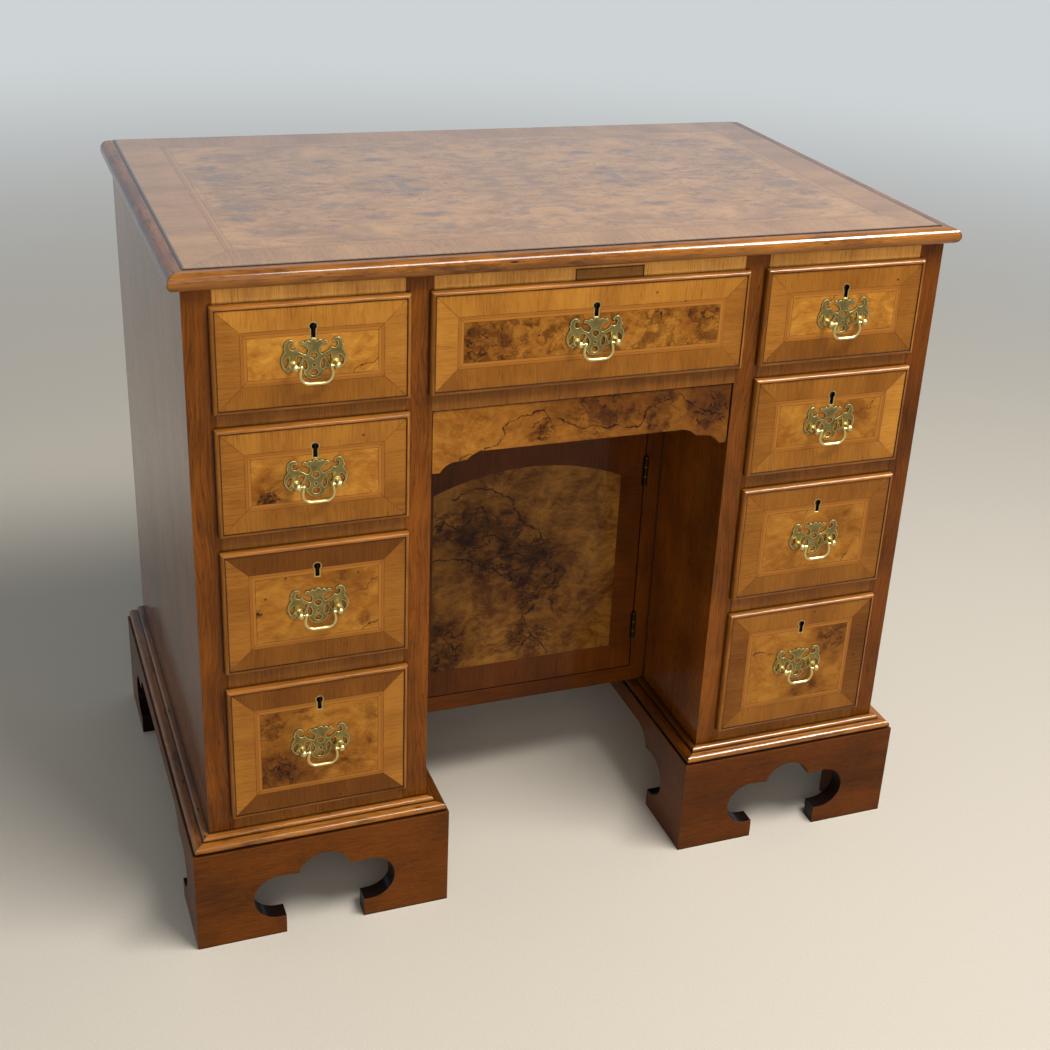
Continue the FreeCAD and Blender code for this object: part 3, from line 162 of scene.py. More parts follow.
def paint(red, green, blue):
    """A screen colour, 0 to 255, in the linear values that shaders use."""
    shares = (red / 255, green / 255, blue / 255)
    return tuple(((s + 0.055) / 1.055) ** 2.4 if s > 0.04045 else s / 12.92 for s in shares) + (1.0,)


def shaded(colour, amount):
    """A colour made darker and redder, or brighter."""
    red, green, blue = colour[:3]
    return (red * amount, green * amount ** 1.25, blue * amount ** 1.6, 1.0)


def number(name, default, **kind):
    return FloatProperty(name=name, default=default, **kind)


def numbers(name, default, **kind):
    return FloatVectorProperty(name=name, default=default, **kind)


def length(name, default):
    return number(name, default, unit="LENGTH", precision=5)


def share(name, default):
    return number(name, default, subtype="FACTOR", soft_min=0, soft_max=1)


def colour(name, screen):
    return numbers(name, paint(*screen), size=4, subtype="COLOR")


class DeskVeneer(bpy.types.PropertyGroup):
    """Sizes and colours of the veneered faces."""

    band_width: length("Crossband round a drawer's face", 0.0222)
    feather_width: length("Feather band between crossband and panel", 0.006)
    seam_width: length("Dark seam between two veneers", 0.0006)
    bead_width: length("Rounded edge round a drawer's face", 0.004)
    top_band_width: length("Crossband round the writing surface", 0.047)
    top_feather_width: length("Feather band of the writing surface", 0.0075)
    door_band_width: length("Crossband at the door's sides", 0.0293)
    door_foot_width: length("Crossband at the door's foot", 0.0338)
    door_spring: length("Where the door panel's arch springs, below the door's top", 0.061)
    door_crown: length("Top of the door panel's arch, below the door's top", 0.037)
    gold: colour("Pale figure of a panel", (194, 134, 48))
    brown: colour("Dark figure of a panel", (148, 88, 23))
    ink: colour("Black veins and knots", (26, 14, 7))
    band_pale: colour("Pale grain of a crossband", (178, 118, 41))
    band_dark: colour("Dark grain of a crossband", (134, 80, 23))
    feather: colour("Grain of the feather band", (160, 101, 35))
    seam: colour("Glue line between veneers", (62, 26, 8))
    door_gold: colour("Pale figure of the kneehole door", (152, 102, 38))
    door_brown: colour("Dark figure of the kneehole door", (84, 45, 11))
    top_pale: colour("Pale figure of the writing surface", (180, 132, 80))
    top_brown: colour("Brown figure of the writing surface", (138, 96, 56))
    top_mauve: colour("Grey patches of the writing surface", (84, 74, 76))


class DeskTimber(bpy.types.PropertyGroup):
    """Colours of the solid timbers and their polish."""

    stile_pale: colour("Pale grain of sides and stiles", (138, 76, 16))
    stile_dark: colour("Dark grain of sides and stiles", (76, 37, 5))
    rail_pale: colour("Pale grain of the rails", (150, 94, 34))
    rail_dark: colour("Dark grain of the rails", (112, 65, 20))
    moulding_pale: colour("Pale grain of the mouldings and beads", (170, 106, 37))
    moulding_dark: colour("Dark grain of the mouldings and beads", (106, 60, 16))
    plinth_pale: colour("Pale grain of the bracket feet", (118, 62, 13))
    plinth_dark: colour("Dark grain of the bracket feet", (72, 36, 6))
    lining_pale: colour("Pale grain of linings and boards", (190, 156, 108))
    lining_dark: colour("Dark grain of linings and boards", (138, 100, 60))
    # Black of sawn edges, nail holes and joints, and of painted shade in corners and keyholes
    soot_and_shade: colour("Blackened edges and grime in corners", (20, 12, 8))
    coat: share("Strength of the polish over the timber", 1.0)
    coat_roughness: share("Roughness of the polish", 0.09)


class DeskBrass(bpy.types.PropertyGroup):
    """Colours of the handles, liners and hinges."""

    bright: colour("Rubbed brass", (222, 202, 134))
    dull: colour("Tarnished brass", (84, 73, 36))


class DeskStage(bpy.types.PropertyGroup):
    """The camera, floor and light."""

    camera_place: numbers("Where the camera stands", (-0.5864, -1.6135, 1.1803), unit="LENGTH")
    camera_aim: numbers("Way the camera looks", (0.35302, 0.83127, -0.42937), subtype="DIRECTION")
    camera_up: numbers("Way to the picture's top", (0.11079, 0.41855, 0.90141), subtype="DIRECTION")
    camera_lens: number("Focal length", 54.19, unit="CAMERA")
    camera_sensor: number("Width of the picture on the sensor", 36.0, unit="CAMERA")
    camera_shift: numbers("Shift of the picture, in picture widths", (-0.051, -0.0233), size=2)
    floor_reach: length("Middle of the floor to its edge", 12.0)
    fade_start: length("Middle of the floor to where it starts to fade", 1.0)
    fade_end: length("Middle of the floor to where only the backdrop is seen", 5.0)
    floor_pale: colour("The floor", (206, 196, 180))
    floor_speck: colour("Specks of the floor", (188, 176, 158))
    backdrop: colour("What the camera sees far behind the desk", (206, 211, 213))
    back_light: colour("Light from behind the desk", (200, 220, 236))
    front_light: colour("Light from behind the camera", (140, 138, 136))
    top_light: colour("Light from above", (138, 142, 148))
    soft_light: share("Strength of the light from all round", 0.8)


class Bench:
    """Lays shader nodes in a tree, each joined to what feeds it, with the desk's settings at hand."""

    def __init__(self, tree, material=None):
        self.tree = tree
        self.material = material
        self.veneer = bpy.context.scene.desk_veneer
        self.timber = bpy.context.scene.desk_timber
        self.metal = bpy.context.scene.desk_brass

    def pair(self, kind, shade=1.0):
        """The pale and the dark colour of one timber, made darker or brighter."""
        return [shaded(getattr(self.timber, f"{kind}_{tone}"), shade) for tone in ("pale", "dark")]

    def lay(self, kind, feeds=(), **settings):
        node = self.tree.nodes.new(kind)
        for name, value in settings.items():
            setattr(node, name, value)
        for socket, value in dict(feeds).items():
            self.feed(node.inputs[socket], value)
        return node

    def feed(self, socket, value):
        if isinstance(value, bpy.types.NodeSocket):
            self.tree.links.new(value, socket)
        else:
            socket.default_value = value

    def group(self, tree, **feeds):
        return self.lay("ShaderNodeGroup", feeds, node_tree=tree).outputs

    def sum(self, operation, first, second=0.0, third=0.0):
        return self.lay("ShaderNodeMath", {0: first, 1: second, 2: third}, operation=operation).outputs[0]

    plus = partialmethod(sum, "ADD")
    minus = partialmethod(sum, "SUBTRACT")
    times = partialmethod(sum, "MULTIPLY")
    times_plus = partialmethod(sum, "MULTIPLY_ADD")
    least = partialmethod(sum, "MINIMUM")
    most = partialmethod(sum, "MAXIMUM")
    size = partialmethod(sum, "ABSOLUTE")
    over = partialmethod(sum, "GREATER_THAN")
    under = partialmethod(sum, "LESS_THAN")

    def total(self, *pairs):
        """The sum of (value, weight) pairs."""
        result = self.times(*pairs[0])
        for value, weight in pairs[1:]:
            result = self.times_plus(value, weight, result)
        return result

    def vectors(self, operation, first, second=(0.0, 0.0, 0.0), output="Vector"):
        return self.lay("ShaderNodeVectorMath", {0: first, 1: second}, operation=operation).outputs[output]

    shift = partialmethod(vectors, "ADD")
    stretch = partialmethod(vectors, "MULTIPLY")
    dot = partialmethod(vectors, "DOT_PRODUCT", output="Value")
    away = partialmethod(vectors, "DISTANCE", output="Value")

    def wander(self, vector, scale, reach):
        """The vector moved about by noise, up to about half that reach."""
        noise = self.shift(self.noise(vector, scale, output="Color"), (-0.5, -0.5, -0.5))
        return self.shift(vector, self.stretch(noise, (reach, reach, reach)))

    def parts(self, vector):
        return self.lay("ShaderNodeSeparateXYZ", {0: vector}).outputs

    def vector(self, x, y, z=0.0):
        return self.lay("ShaderNodeCombineXYZ", {0: x, 1: y, 2: z}).outputs[0]

    def grain(self, turned, x, y, z):
        """The vector (x, y, z), with its x and y changed over where turned is 1."""
        feeds = {0: turned, 4: self.vector(x, y, z), 5: self.vector(y, x, z)}
        return self.lay("ShaderNodeMix", feeds, data_type="VECTOR").outputs[1]

    def noise(self, vector, scale=1.0, detail=2.0, roughness=0.5, output="Fac"):
        feeds = {"Vector": vector, "Scale": scale, "Detail": detail, "Roughness": roughness}
        return self.lay("ShaderNodeTexNoise", feeds).outputs[output]

    def cells(self, vector, scale):
        return self.lay("ShaderNodeTexVoronoi", {"Vector": vector, "Scale": scale}).outputs["Distance"]

    def fade(self, value, low, high):
        """0 at low and before it, 1 at high and beyond."""
        feeds = {0: value, 1: low, 2: high}
        return self.lay("ShaderNodeMapRange", feeds, interpolation_type="SMOOTHSTEP").outputs[0]

    def line(self, distance, width):
        """1 on a line of that width where distance is zero, 0 beside it."""
        return self.fade(self.size(distance), width * 0.75, width * 0.25)

    def mix(self, amount, first, second, blend="MIX"):
        feeds = {0: amount, 6: first, 7: second}
        return self.lay("ShaderNodeMix", feeds, data_type="RGBA", blend_type=blend).outputs[2]

    def stain(self, mask, strength, wood, colour):
        """A colour of that strength over the wood where the mask is 1."""
        return self.mix(self.times(mask, strength), wood, colour)

    def tint(self, wood, tone):
        """A colour times a brightness that differs over the face, redder where it is dark."""
        warm = self.vector(tone, self.sum("POWER", tone, 1.25), self.sum("POWER", tone, 1.6))
        return self.mix(1.0, wood, warm, "MULTIPLY")

    def between(self, amount, first, second):
        return self.lay("ShaderNodeMix", {0: amount, 2: first, 3: second}, data_type="FLOAT").outputs[0]

    def blend(self, amount, first, second):
        feeds = {0: amount, 1: first.outputs[0], 2: second.outputs[0]}
        return self.lay("ShaderNodeMixShader", feeds).outputs[0]

    def place(self):
        """The point on the piece, in metres from the desk's origin at rest."""
        return self.lay("ShaderNodeTexCoord").outputs["Object"]

    def axes(self):
        """X, Y and Z of the point on the piece."""
        return self.parts(self.place())

    def facing(self):
        """How far the face looks along X, Y and Z, either way."""
        normal = self.lay("ShaderNodeNewGeometry").outputs["True Normal"]
        return self.parts(self.vectors("ABSOLUTE", normal))

    def edges(self, radius, samples):
        """The normal eased round the edges, and how near it is to the face's own: 1 on a flat."""
        eased = self.lay("ShaderNodeBevel", {"Radius": radius}, samples=samples).outputs[0]
        return eased, self.dot(eased, self.lay("ShaderNodeNewGeometry").outputs["Normal"])

    def open_air(self, reach, samples):
        """1 in the open, less in a corner."""
        return self.lay("ShaderNodeAmbientOcclusion", {"Distance": reach}, samples=samples).outputs["AO"]

    def bump(self, height, depth, strength, **feeds):
        feeds.update(Height=height, Distance=depth, Strength=strength)
        return self.lay("ShaderNodeBump", feeds).outputs[0]


def shared_group(name, build):
    """The node group of that name, built at its first use."""
    return bpy.data.node_groups.get(name) or build(name)


def new_group(name, inputs, outputs):
    """A shader group's bench and the sockets that come in and go out."""
    tree = bpy.data.node_groups.new(name, "ShaderNodeTree")
    for way, sockets in (("INPUT", inputs), ("OUTPUT", outputs)):
        for title, kind in sockets.items():
            tree.interface.new_socket(title, in_out=way, socket_type="NodeSocket" + kind)
    bench = Bench(tree)
    return bench, bench.lay("NodeGroupInput").outputs, bench.lay("NodeGroupOutput").inputs


def walnut_group(name):
    inputs = {"Vector": "Vector", "Pale": "Color", "Dark": "Color", "Figure": "Float"}
    bench, given, giving = new_group(name, inputs, {"Color": "Color", "Height": "Float"})
    place = given["Vector"]
    bend = bench.noise(bench.stretch(place, (5, 16, 16)))
    bent = bench.shift(place, bench.vector(0.0, bench.times(bench.minus(bend, 0.5), given["Figure"])))
    drift = bench.noise(bench.stretch(bent, (3, 26, 26)), detail=3)
    streaks = bench.noise(bench.stretch(bent, (9, 240, 240)), detail=3, roughness=0.6)
    fibres = bench.noise(bench.stretch(bent, (30, 900, 900)))
    pores = bench.fade(bench.noise(bench.stretch(bent, (70, 1500, 1500)), detail=1), 0.6, 0.72)
    clouds = bench.noise(place, 14)
    tone = bench.total((drift, 0.3), (streaks, 0.13), (fibres, 0.3), (clouds, 0.27))
    wood = bench.mix(bench.fade(tone, 0.33, 0.67), given["Dark"], given["Pale"])
    bench.feed(giving["Color"], bench.mix(bench.times(pores, 0.45), wood, given["Dark"], "MULTIPLY"))
    bench.feed(giving["Height"], bench.minus(streaks, pores))
    return bench.tree


def walnut(bench, grain, colours, figure):
    """Straight walnut with its grain along the vector's X, bent by its figure: colour and height."""
    pale, dark = colours
    tree = shared_group("Walnut grain", walnut_group)
    return bench.group(tree, Vector=grain, Pale=pale, Dark=dark, Figure=figure)


def burr_group(name):
    inputs = {"Vector": "Vector", "Gold": "Color", "Brown": "Color", "Ink": "Color", "Mottle": "Float"}
    bench, given, giving = new_group(name, inputs, {"Color": "Color", "Height": "Float"})
    place = given["Vector"]
    figure = bench.wander(bench.wander(place, 13, 0.05), 60, 0.014)
    clouds = bench.noise(figure, 22, detail=4, roughness=0.55)
    flames = bench.noise(bench.stretch(figure, (62, 105, 1)), detail=5, roughness=0.62)
    fibres = bench.noise(bench.stretch(figure, (160, 620, 1)), detail=3)
    tone = bench.total((clouds, 0.4), (flames, 0.42), (fibres, 0.18))
    wood = bench.mix(bench.fade(tone, 0.36, 0.64), given["Brown"], given["Gold"])
    knotted = bench.wander(bench.wander(place, 48, 0.022), 190, 0.007)
    patches = bench.noise(knotted, 50, detail=6, roughness=0.7)
    spalt = bench.noise(knotted, 24, detail=3, roughness=0.55)
    depth = bench.total((patches, 1.3), (spalt, 0.5), (given["Mottle"], 0.24))
    dark = bench.times(bench.fade(depth, 0.98, 1.2), bench.fade(given["Mottle"], 0.05, 0.4))
    wood = bench.mix(bench.times(dark, 0.9), wood, (0.4, 0.32, 0.27, 1.0), "MULTIPLY")
    spread = bench.fade(given["Mottle"], 0.35, 0.8)
    lines = bench.most(*(bench.line(bench.minus(spalt, level), 0.018) for level in (0.56, 0.46)))
    veins = bench.times(lines, bench.times(spread, 0.8))
    heart = bench.times(bench.fade(depth, 1.2, 1.36), spread)
    bench.feed(giving["Color"], bench.mix(bench.most(veins, bench.times(heart, 0.65)), wood, given["Ink"]))
    bench.feed(giving["Height"], fibres)
    return bench.tree


def burr(bench, place, colours, ink, mottle):
    """Burr in the vector's X and Y, with dark eyes and patches by its mottle: colour and height."""
    gold, brown = colours
    tree = shared_group("Burr figure", burr_group)
    return bench.group(tree, Vector=place, Gold=gold, Brown=brown, Ink=ink, Mottle=mottle)


def run_group(name):
    """Distance from the vector to a straight run between two points."""
    inputs = {"Vector": "Vector", "Start": "Vector", "End": "Vector"}
    bench, given, giving = new_group(name, inputs, {"Distance": "Float"})
    way = bench.vectors("SUBTRACT", given["End"], given["Start"])
    off = bench.vectors("SUBTRACT", given["Vector"], given["Start"])
    along = bench.sum("DIVIDE", bench.dot(off, way), bench.dot(way, way))
    held = bench.least(bench.most(along, 0.0), 1.0)
    foot = bench.stretch(way, bench.vector(held, held, held))
    bench.feed(giving["Distance"], bench.away(off, foot))
    return bench.tree


def new_material(name):
    """The bench of a new material."""
    material = bpy.data.materials.new(name)
    material.use_nodes = True
    material.node_tree.nodes.clear()
    return Bench(material.node_tree, material)


def finish_material(bench, base, roughness, normal, **settings):
    feeds = {"Base Color": base, "Roughness": roughness, "Normal": normal}
    shader = bench.lay("ShaderNodeBsdfPrincipled", feeds)
    for socket, value in settings.items():
        shader.inputs[socket.replace("_", " ")].default_value = value
    bench.lay("ShaderNodeOutputMaterial", {"Surface": shader.outputs[0]})
    return bench.material


def polish(bench, wood, height, rough=0.38, coat_ior=1.28, coat=0.55, rub_and_highlight_reach=0.0007):
    """French polish, corners darkened by dirt and painted shade, edges lightened by rubbing and painted
    highlight.
    """
    timber = bench.timber
    eased, flat = bench.edges(rub_and_highlight_reach, samples=4)
    # Edges lightened: rubbing, and a painted highlight along them
    wood = bench.stain(bench.fade(flat, 0.995, 0.85), 0.3, wood, timber.moulding_pale)
    # Corners darkened from ambient occlusion: dirt, and painted shade
    dirt_and_shade = bench.fade(bench.open_air(reach=0.004, samples=8), 0.9, 0.54)
    wood = bench.stain(dirt_and_shade, 0.8, wood, timber.soot_and_shade)
    roughness = bench.times_plus(height, 0.1, rough - 0.05)
    return finish_material(
        bench, wood, roughness, bench.bump(height, depth=0.00006, strength=0.6, Normal=eased),
        Specular_IOR_Level=0.05,
        Coat_Weight=timber.coat * coat,
        Coat_IOR=coat_ior,
        Coat_Roughness=timber.coat_roughness,
    )


def lining_material(name, axis, shade=1.0, board=1.0):
    """Plain timber with its grain along one axis, in boards of that height from the back's foot up."""
    bench = new_material(name)
    x, y, z = bench.axes()
    grain = bench.vector(*{"x": (x, y, z), "y": (y, x, z), "z": (z, x, y)}[axis])
    up = bench.times(bench.minus(z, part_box("back_boards")[0].z), 1 / board)
    moved_on = bench.times(bench.sum("FLOOR", up), 1.37)
    grain = bench.shift(grain, bench.vector(moved_on, 0.0))
    wood, height = walnut(bench, grain, bench.pair("lining", shade), figure=0.03)
    bump = bench.bump(height, depth=0.0001, strength=0.6)
    return finish_material(bench, wood, bench.times_plus(height, 0.12, 0.6), bump, Specular_IOR_Level=0.25)


def set_material(material, *names):
    for name in names:
        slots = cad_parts[name].data.materials
        slots.clear()
        slots.append(material)


def weld_group(name):
    """Joins the faces of a carried-over solid at their edges."""
    tree = bpy.data.node_groups.new(name, "GeometryNodeTree")
    for way in ("INPUT", "OUTPUT"):
        tree.interface.new_socket("Geometry", in_out=way, socket_type="NodeSocketGeometry")
    bench = Bench(tree)
    solid = bench.lay("NodeGroupInput").outputs[0]
    steps = {
        "GeometryNodeRemoveAttribute": {"Name": "custom_normal"},
        "GeometryNodeMergeByDistance": {"Distance": 2e-6},
        "GeometryNodeSetShadeSmooth": {"Shade Smooth": True},
    }
    for kind, feeds in steps.items():
        solid = bench.lay(kind, {"Geometry": solid, **feeds}).outputs[0]
    bench.feed(bench.lay("NodeGroupOutput").inputs[0], solid)
    return tree


def ease_edges(name, width):
    """Round the sharp edges of a one-solid node a little, as rubbing down does."""
    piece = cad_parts[name]
    piece.modifiers.new("Joined faces", "NODES").node_group = shared_group("Joined faces", weld_group)
    flats = piece.modifiers.new("Flats", "DECIMATE")
    flats.decimate_type = "DISSOLVE"
    flats.angle_limit = math.radians(0.3)
    bevel = piece.modifiers.new("Eased edges", "BEVEL")
    bevel.width = width
    bevel.segments = 2
    bevel.limit_method = "ANGLE"
    bevel.angle_limit = math.radians(28)
    bevel.use_clamp_overlap = False
    bevel.miter_outer = "MITER_ARC"
    bevel.harden_normals = True


def front_face(bench, node, margin=0.0):
    """A point of an upright face from its middle, X across and Y up, half its size inside a margin, and its
    low corner."""
    low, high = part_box(node)
    middle = (low + high) / 2
    x, _, z = bench.parts(bench.shift(bench.place(), tuple(-middle)))
    return bench.vector(x, z), (high.x - middle.x - margin, high.z - middle.z - margin), low


def panel_field(bench, place, half):
    """Distance to a rectangle's nearest edge, to its mitres, and whether that edge is a side."""
    across, up, _ = bench.parts(place)
    from_side = bench.minus(half[0], bench.size(across))
    from_end = bench.minus(half[1], bench.size(up))
    mitre = bench.minus(from_side, from_end)
    return bench.least(from_side, from_end), mitre, bench.under(from_side, from_end)


def blots(bench, place, half, base, table):
    """How deep in a table's patches a point lies: the base outside them, a patch's depth in its middle."""
    loose = bench.wander(place, 45, 0.02)
    depth = base
    for across, up, share_up, strength in table:
        reach = share_up * half[1]
        away = bench.away(loose, (across * half[0], up * half[1], 0.0))
        depth = bench.most(depth, bench.times(bench.fade(away, reach, reach * 0.35), strength))
    return depth


def ink_lines(bench, place, half, table, width):
    """1 on lines of ink drawn from point to point, wavering and uneven, 0 beside them."""
    loose = bench.wander(bench.wander(bench.wander(place, 50, 0.014), 130, 0.008), 400, 0.002)
    loose = bench.stretch(loose, (1.0, 1.0, 0.0))
    run = shared_group("Straight run", run_group)
    nearest = 1.0
    for points in table:
        spots = [(across * half[0], up * half[1], 0.0) for across, up in points]
        for start, end in zip(spots, spots[1:]):
            away = bench.group(run, Vector=loose, Start=start, End=end)["Distance"]
            nearest = bench.least(nearest, away)
    swell = bench.fade(bench.noise(place, 60, detail=3), 0.38, 0.72)
    reach = bench.times_plus(swell, width * 1.3, width * 0.8)
    return bench.fade(nearest, reach, bench.times(reach, 0.35))


def burr_panel(bench, name, place, half, colours, base, width, seed):
    """Burr veneer with the patches, stains and ink lines of one face: colour and height."""
    mottle = blots(bench, place, half, base, BLOT_SHARES[name])
    leaf = bench.shift(place, (seed * 1.7, seed * 0.9, seed))
    wood, height = burr(bench, leaf, colours, bench.veneer.ink, mottle)
    wood = bench.tint(wood, bench.minus(1.0, blots(bench, place, half, 0.0, STAIN_SHARES[name])))
    if name in TRAIL_SHARES:
        lines = ink_lines(bench, place, half, TRAIL_SHARES[name], width)
        wood = bench.stain(lines, 0.85, wood, bench.veneer.ink)
    return wood, height


def backed(bench, wood, front, depth=0.0015):
    """A veneer's colour down to a depth behind the front, and plain board behind that."""
    _, y, _ = bench.axes()
    board, _ = walnut(bench, bench.place(), bench.pair("lining", 0.6), figure=0.03)
    return bench.mix(bench.over(y, front + depth), wood, board)


def banded(bench, place, field, widths, panel, tones, colours, seed):
    """Crossband, feather band and seams laid round a panel's colour: colour and height."""
    band, feather = widths
    edge, mitre, side = field
    across, up, _ = bench.parts(place)
    top, right, bottom, left = tones
    ends = bench.between(bench.over(up, 0.0), bottom, top)
    sides = bench.between(bench.over(across, 0.0), left, right)
    pale, dark, feather_wood = colours
    crossband, height = walnut(bench, bench.grain(side, up, across, seed), (pale, dark), figure=0.016)
    crossband = bench.tint(crossband, bench.between(side, ends, sides))
    along = bench.between(side, across, up)
    depth = bench.minus(edge, band)
    middle = bench.minus(depth, feather / 2)
    ply = bench.sum("SINE", bench.times(bench.plus(along, bench.size(middle)), math.tau / (feather * 0.3)))
    strip = bench.between(bench.over(middle, 0.0), 0.88, 1.04)
    feathering = bench.tint(feather_wood, bench.times_plus(ply, 0.07, strip))
    face = bench.mix(bench.over(depth, 0.0), crossband, feathering)
    face = bench.mix(bench.over(depth, feather), face, panel)
    seam = bench.veneer.seam_width
    lines = bench.most(bench.line(depth, seam), bench.line(bench.minus(depth, feather), seam))
    lines = bench.most(lines, bench.times(bench.line(middle, seam), 0.5))
    cut = bench.times(bench.line(mitre, seam * 1.4), bench.under(depth, feather))
    worn = bench.fade(bench.noise(place, 55), 0.3, 0.6)
    seams = bench.times(bench.most(lines, cut), bench.times_plus(worn, 0.5, 0.2))
    return bench.mix(seams, face, bench.veneer.seam), height


def strip_side(bench, axis, half, front):
    """1 where a strip runs front to back, 0 where it runs across, and the distance to their mitre."""
    x, y, _ = bench.axes()
    past_side = bench.minus(bench.size(bench.minus(bench.size(x), axis)), half)
    past_front = bench.minus(front, y)
    return bench.over(past_side, past_front), bench.minus(past_side, past_front)


def strip_material(name, axis, half, front, side_tones_and_shade):
    """Polished moulding in mitred strips, stained and nailed; side strips darker, inner ones by painted
    shade.
    """
    bench = new_material(name)
    timber = bench.timber
    side, mitre = strip_side(bench, axis, half, front)
    grain = bench.grain(side, *bench.axes())
    wood, height = walnut(bench, grain, bench.pair("moulding"), figure=0.02)
    stains = bench.noise(bench.stretch(grain, (18, 70, 70)), detail=4, roughness=0.6)
    wood = bench.stain(bench.fade(stains, 0.53, 0.68), 0.7, wood, timber.plinth_dark)
    holes = bench.fade(bench.cells(bench.stretch(grain, (22, 90, 90)), 1.0), 0.11, 0.07)
    wood = bench.stain(holes, 0.85, wood, timber.soot_and_shade)
    x, _, _ = bench.axes()
    outer, inner = side_tones_and_shade
    # Side strips darker than front ones; the inner ones in the kneehole by painted shade
    shade = bench.between(bench.over(bench.size(x), axis), inner, outer)
    wood = bench.tint(wood, bench.between(side, 1.0, shade))
    wood = bench.stain(bench.line(mitre, width=0.0014), 0.8, wood, timber.soot_and_shade)
    return polish(bench, wood, height, rough=0.32, coat_ior=1.4, coat=0.8, rub_and_highlight_reach=0.0005)


class DESK_OT_finish_top(bpy.types.Operator):
    """Veneer the writing surface and polish its moulding"""

    bl_idname = "desk.finish_top"
    bl_label = "Writing surface"

    def execute(self, context):
        low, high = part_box("desk_top")
        set_material(self.veneered_top((low + high) / 2, high), "desk_top")
        set_material(strip_material("Top moulding", 0.0, high.x, low.y, (0.75, 1.0)), "top_moulding")
        return {"FINISHED"}

    def veneered_top(self, middle, high):
        bench = new_material("Top veneer")
        veneer = bench.veneer
        half = (high.x - middle.x, high.y - middle.y)
        x, y, _ = bench.parts(bench.shift(bench.place(), tuple(-middle)))
        place = bench.vector(x, y)
        panel = self.figure(bench, bench.vector(bench.size(x), bench.size(y), 0.3))
        quarters = bench.most(bench.line(x, width=0.0009), bench.line(y, width=0.0007))
        broken = bench.fade(bench.noise(place, 20), 0.45, 0.65)
        panel = bench.stain(bench.times(quarters, broken), 0.6, panel, veneer.top_mauve)
        widths = (veneer.top_band_width, veneer.top_feather_width)
        colours = (veneer.top_pale, veneer.top_brown, shaded(veneer.top_pale, 0.8))
        field = panel_field(bench, place, half)
        face, height = banded(bench, place, field, widths, panel, (0.88, 0.86, 0.95, 1.0), colours, 0.7)
        from_side = bench.minus(half[0], bench.size(x))
        # Dark line where the top meets its moulding: dirt in the joint, and painted shade of the quirk
        quirk = bench.line(bench.least(from_side, bench.plus(y, half[1])), width=0.005)
        wood = bench.stain(quirk, 0.9, face, bench.timber.soot_and_shade)
        return polish(bench, wood, height, rough=0.3, coat_ior=1.5, coat=0.9)

    def figure(self, bench, quarter):
        """Soft burr drawn out along the desk, with grey patches."""
        veneer = bench.veneer
        drawn = bench.stretch(bench.wander(quarter, 16, 0.03), (0.7, 0.95, 1.0))
        wood, _ = burr(bench, drawn, (veneer.top_pale, veneer.top_brown), veneer.top_mauve, 0.2)
        loose = bench.wander(drawn, 70, 0.012)
        patches = bench.fade(bench.noise(loose, 30, detail=5, roughness=0.65), 0.5, 0.7)
        flecks = bench.fade(bench.noise(loose, 170, detail=3), 0.58, 0.68)
        flecks = bench.times(flecks, bench.fade(bench.noise(quarter, 9), 0.4, 0.6))
        grey = bench.most(bench.times(patches, 0.5), bench.times(flecks, 0.7))
        return bench.mix(grey, wood, veneer.top_mauve)


class DESK_OT_finish_carcase(bpy.types.Operator):
    """Polish the sides, stiles and rails and finish the hidden boards"""

    bl_idname = "desk.finish_carcase"
    bl_label = "Carcase"

    def execute(self, context):
        sides = [f"{hand}_{place}_side" for hand in ("left", "right") for place in ("outer", "inner")]
        set_material(self.side_walnut(), *sides)
        rails = ("top_rails", "left_dividers", "right_dividers", "kneehole_rail", "pedestal_floors")
        set_material(self.rail_walnut(), *rails)
        set_material(lining_material("Carcase boards", "y"), "drawer_guides")
        set_material(lining_material("Glue blocks", "z", 0.3), "glue_blocks")
        low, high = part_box("back_boards")
        set_material(lining_material("Back boards", "x", 0.5, (high.z - low.z) / 3), "back_boards")
        return {"FINISHED"}

    def side_walnut(self):
        bench = new_material("Side walnut")
        x, y, z = bench.axes()
        wood, height = walnut(bench, bench.vector(z, x, y), bench.pair("stile"), figure=0.045)
        # Painted shade: the right pedestal's outer side drawn darker
        wood = bench.tint(wood, bench.between(bench.fade(x, low=0.34, high=0.38), 1.0, RIGHT_PAINTED_SHADE))
        return polish(bench, wood, height, rough=0.3, coat=0.8, coat_ior=1.22)

    def rail_walnut(self):
        """Cross-grained veneer on the front of the rails, plain boards behind it."""
        bench = new_material("Rail walnut")
        x, y, z = bench.axes()
        rail, height = walnut(bench, bench.vector(z, x, y), bench.pair("rail"), figure=0.012)
        low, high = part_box("top_rails")
        on_top_rail = bench.over(z, low.z)
        # Painted light: the rails under the top drawn brighter against the shade of the top's overhang
        rail = bench.tint(rail, bench.between(on_top_rail, 1.0, TOP_RAIL_PAINTED_LIGHT))
        from_end = bench.minus(PATCH_REACH, bench.size(bench.minus(x, PATCH_PLACE)))
        edge = bench.least(from_end, bench.minus(low.z + PATCH_HEIGHT, z))
        patch = bench.times(bench.over(edge, 0.0), on_top_rail)
        rail = bench.stain(patch, 0.75, rail, shaded(bench.timber.moulding_dark, 0.8))
        joint = bench.times(bench.line(edge, width=0.0016), on_top_rail)
        rail = bench.stain(joint, 0.9, rail, bench.veneer.seam)
        board, _ = walnut(bench, bench.place(), bench.pair("lining"), figure=0.03)
        hair = 0.0002
        wood = bench.mix(bench.over(y, high.y + hair), rail, board)
        return polish(bench, wood, height, rough=0.36)


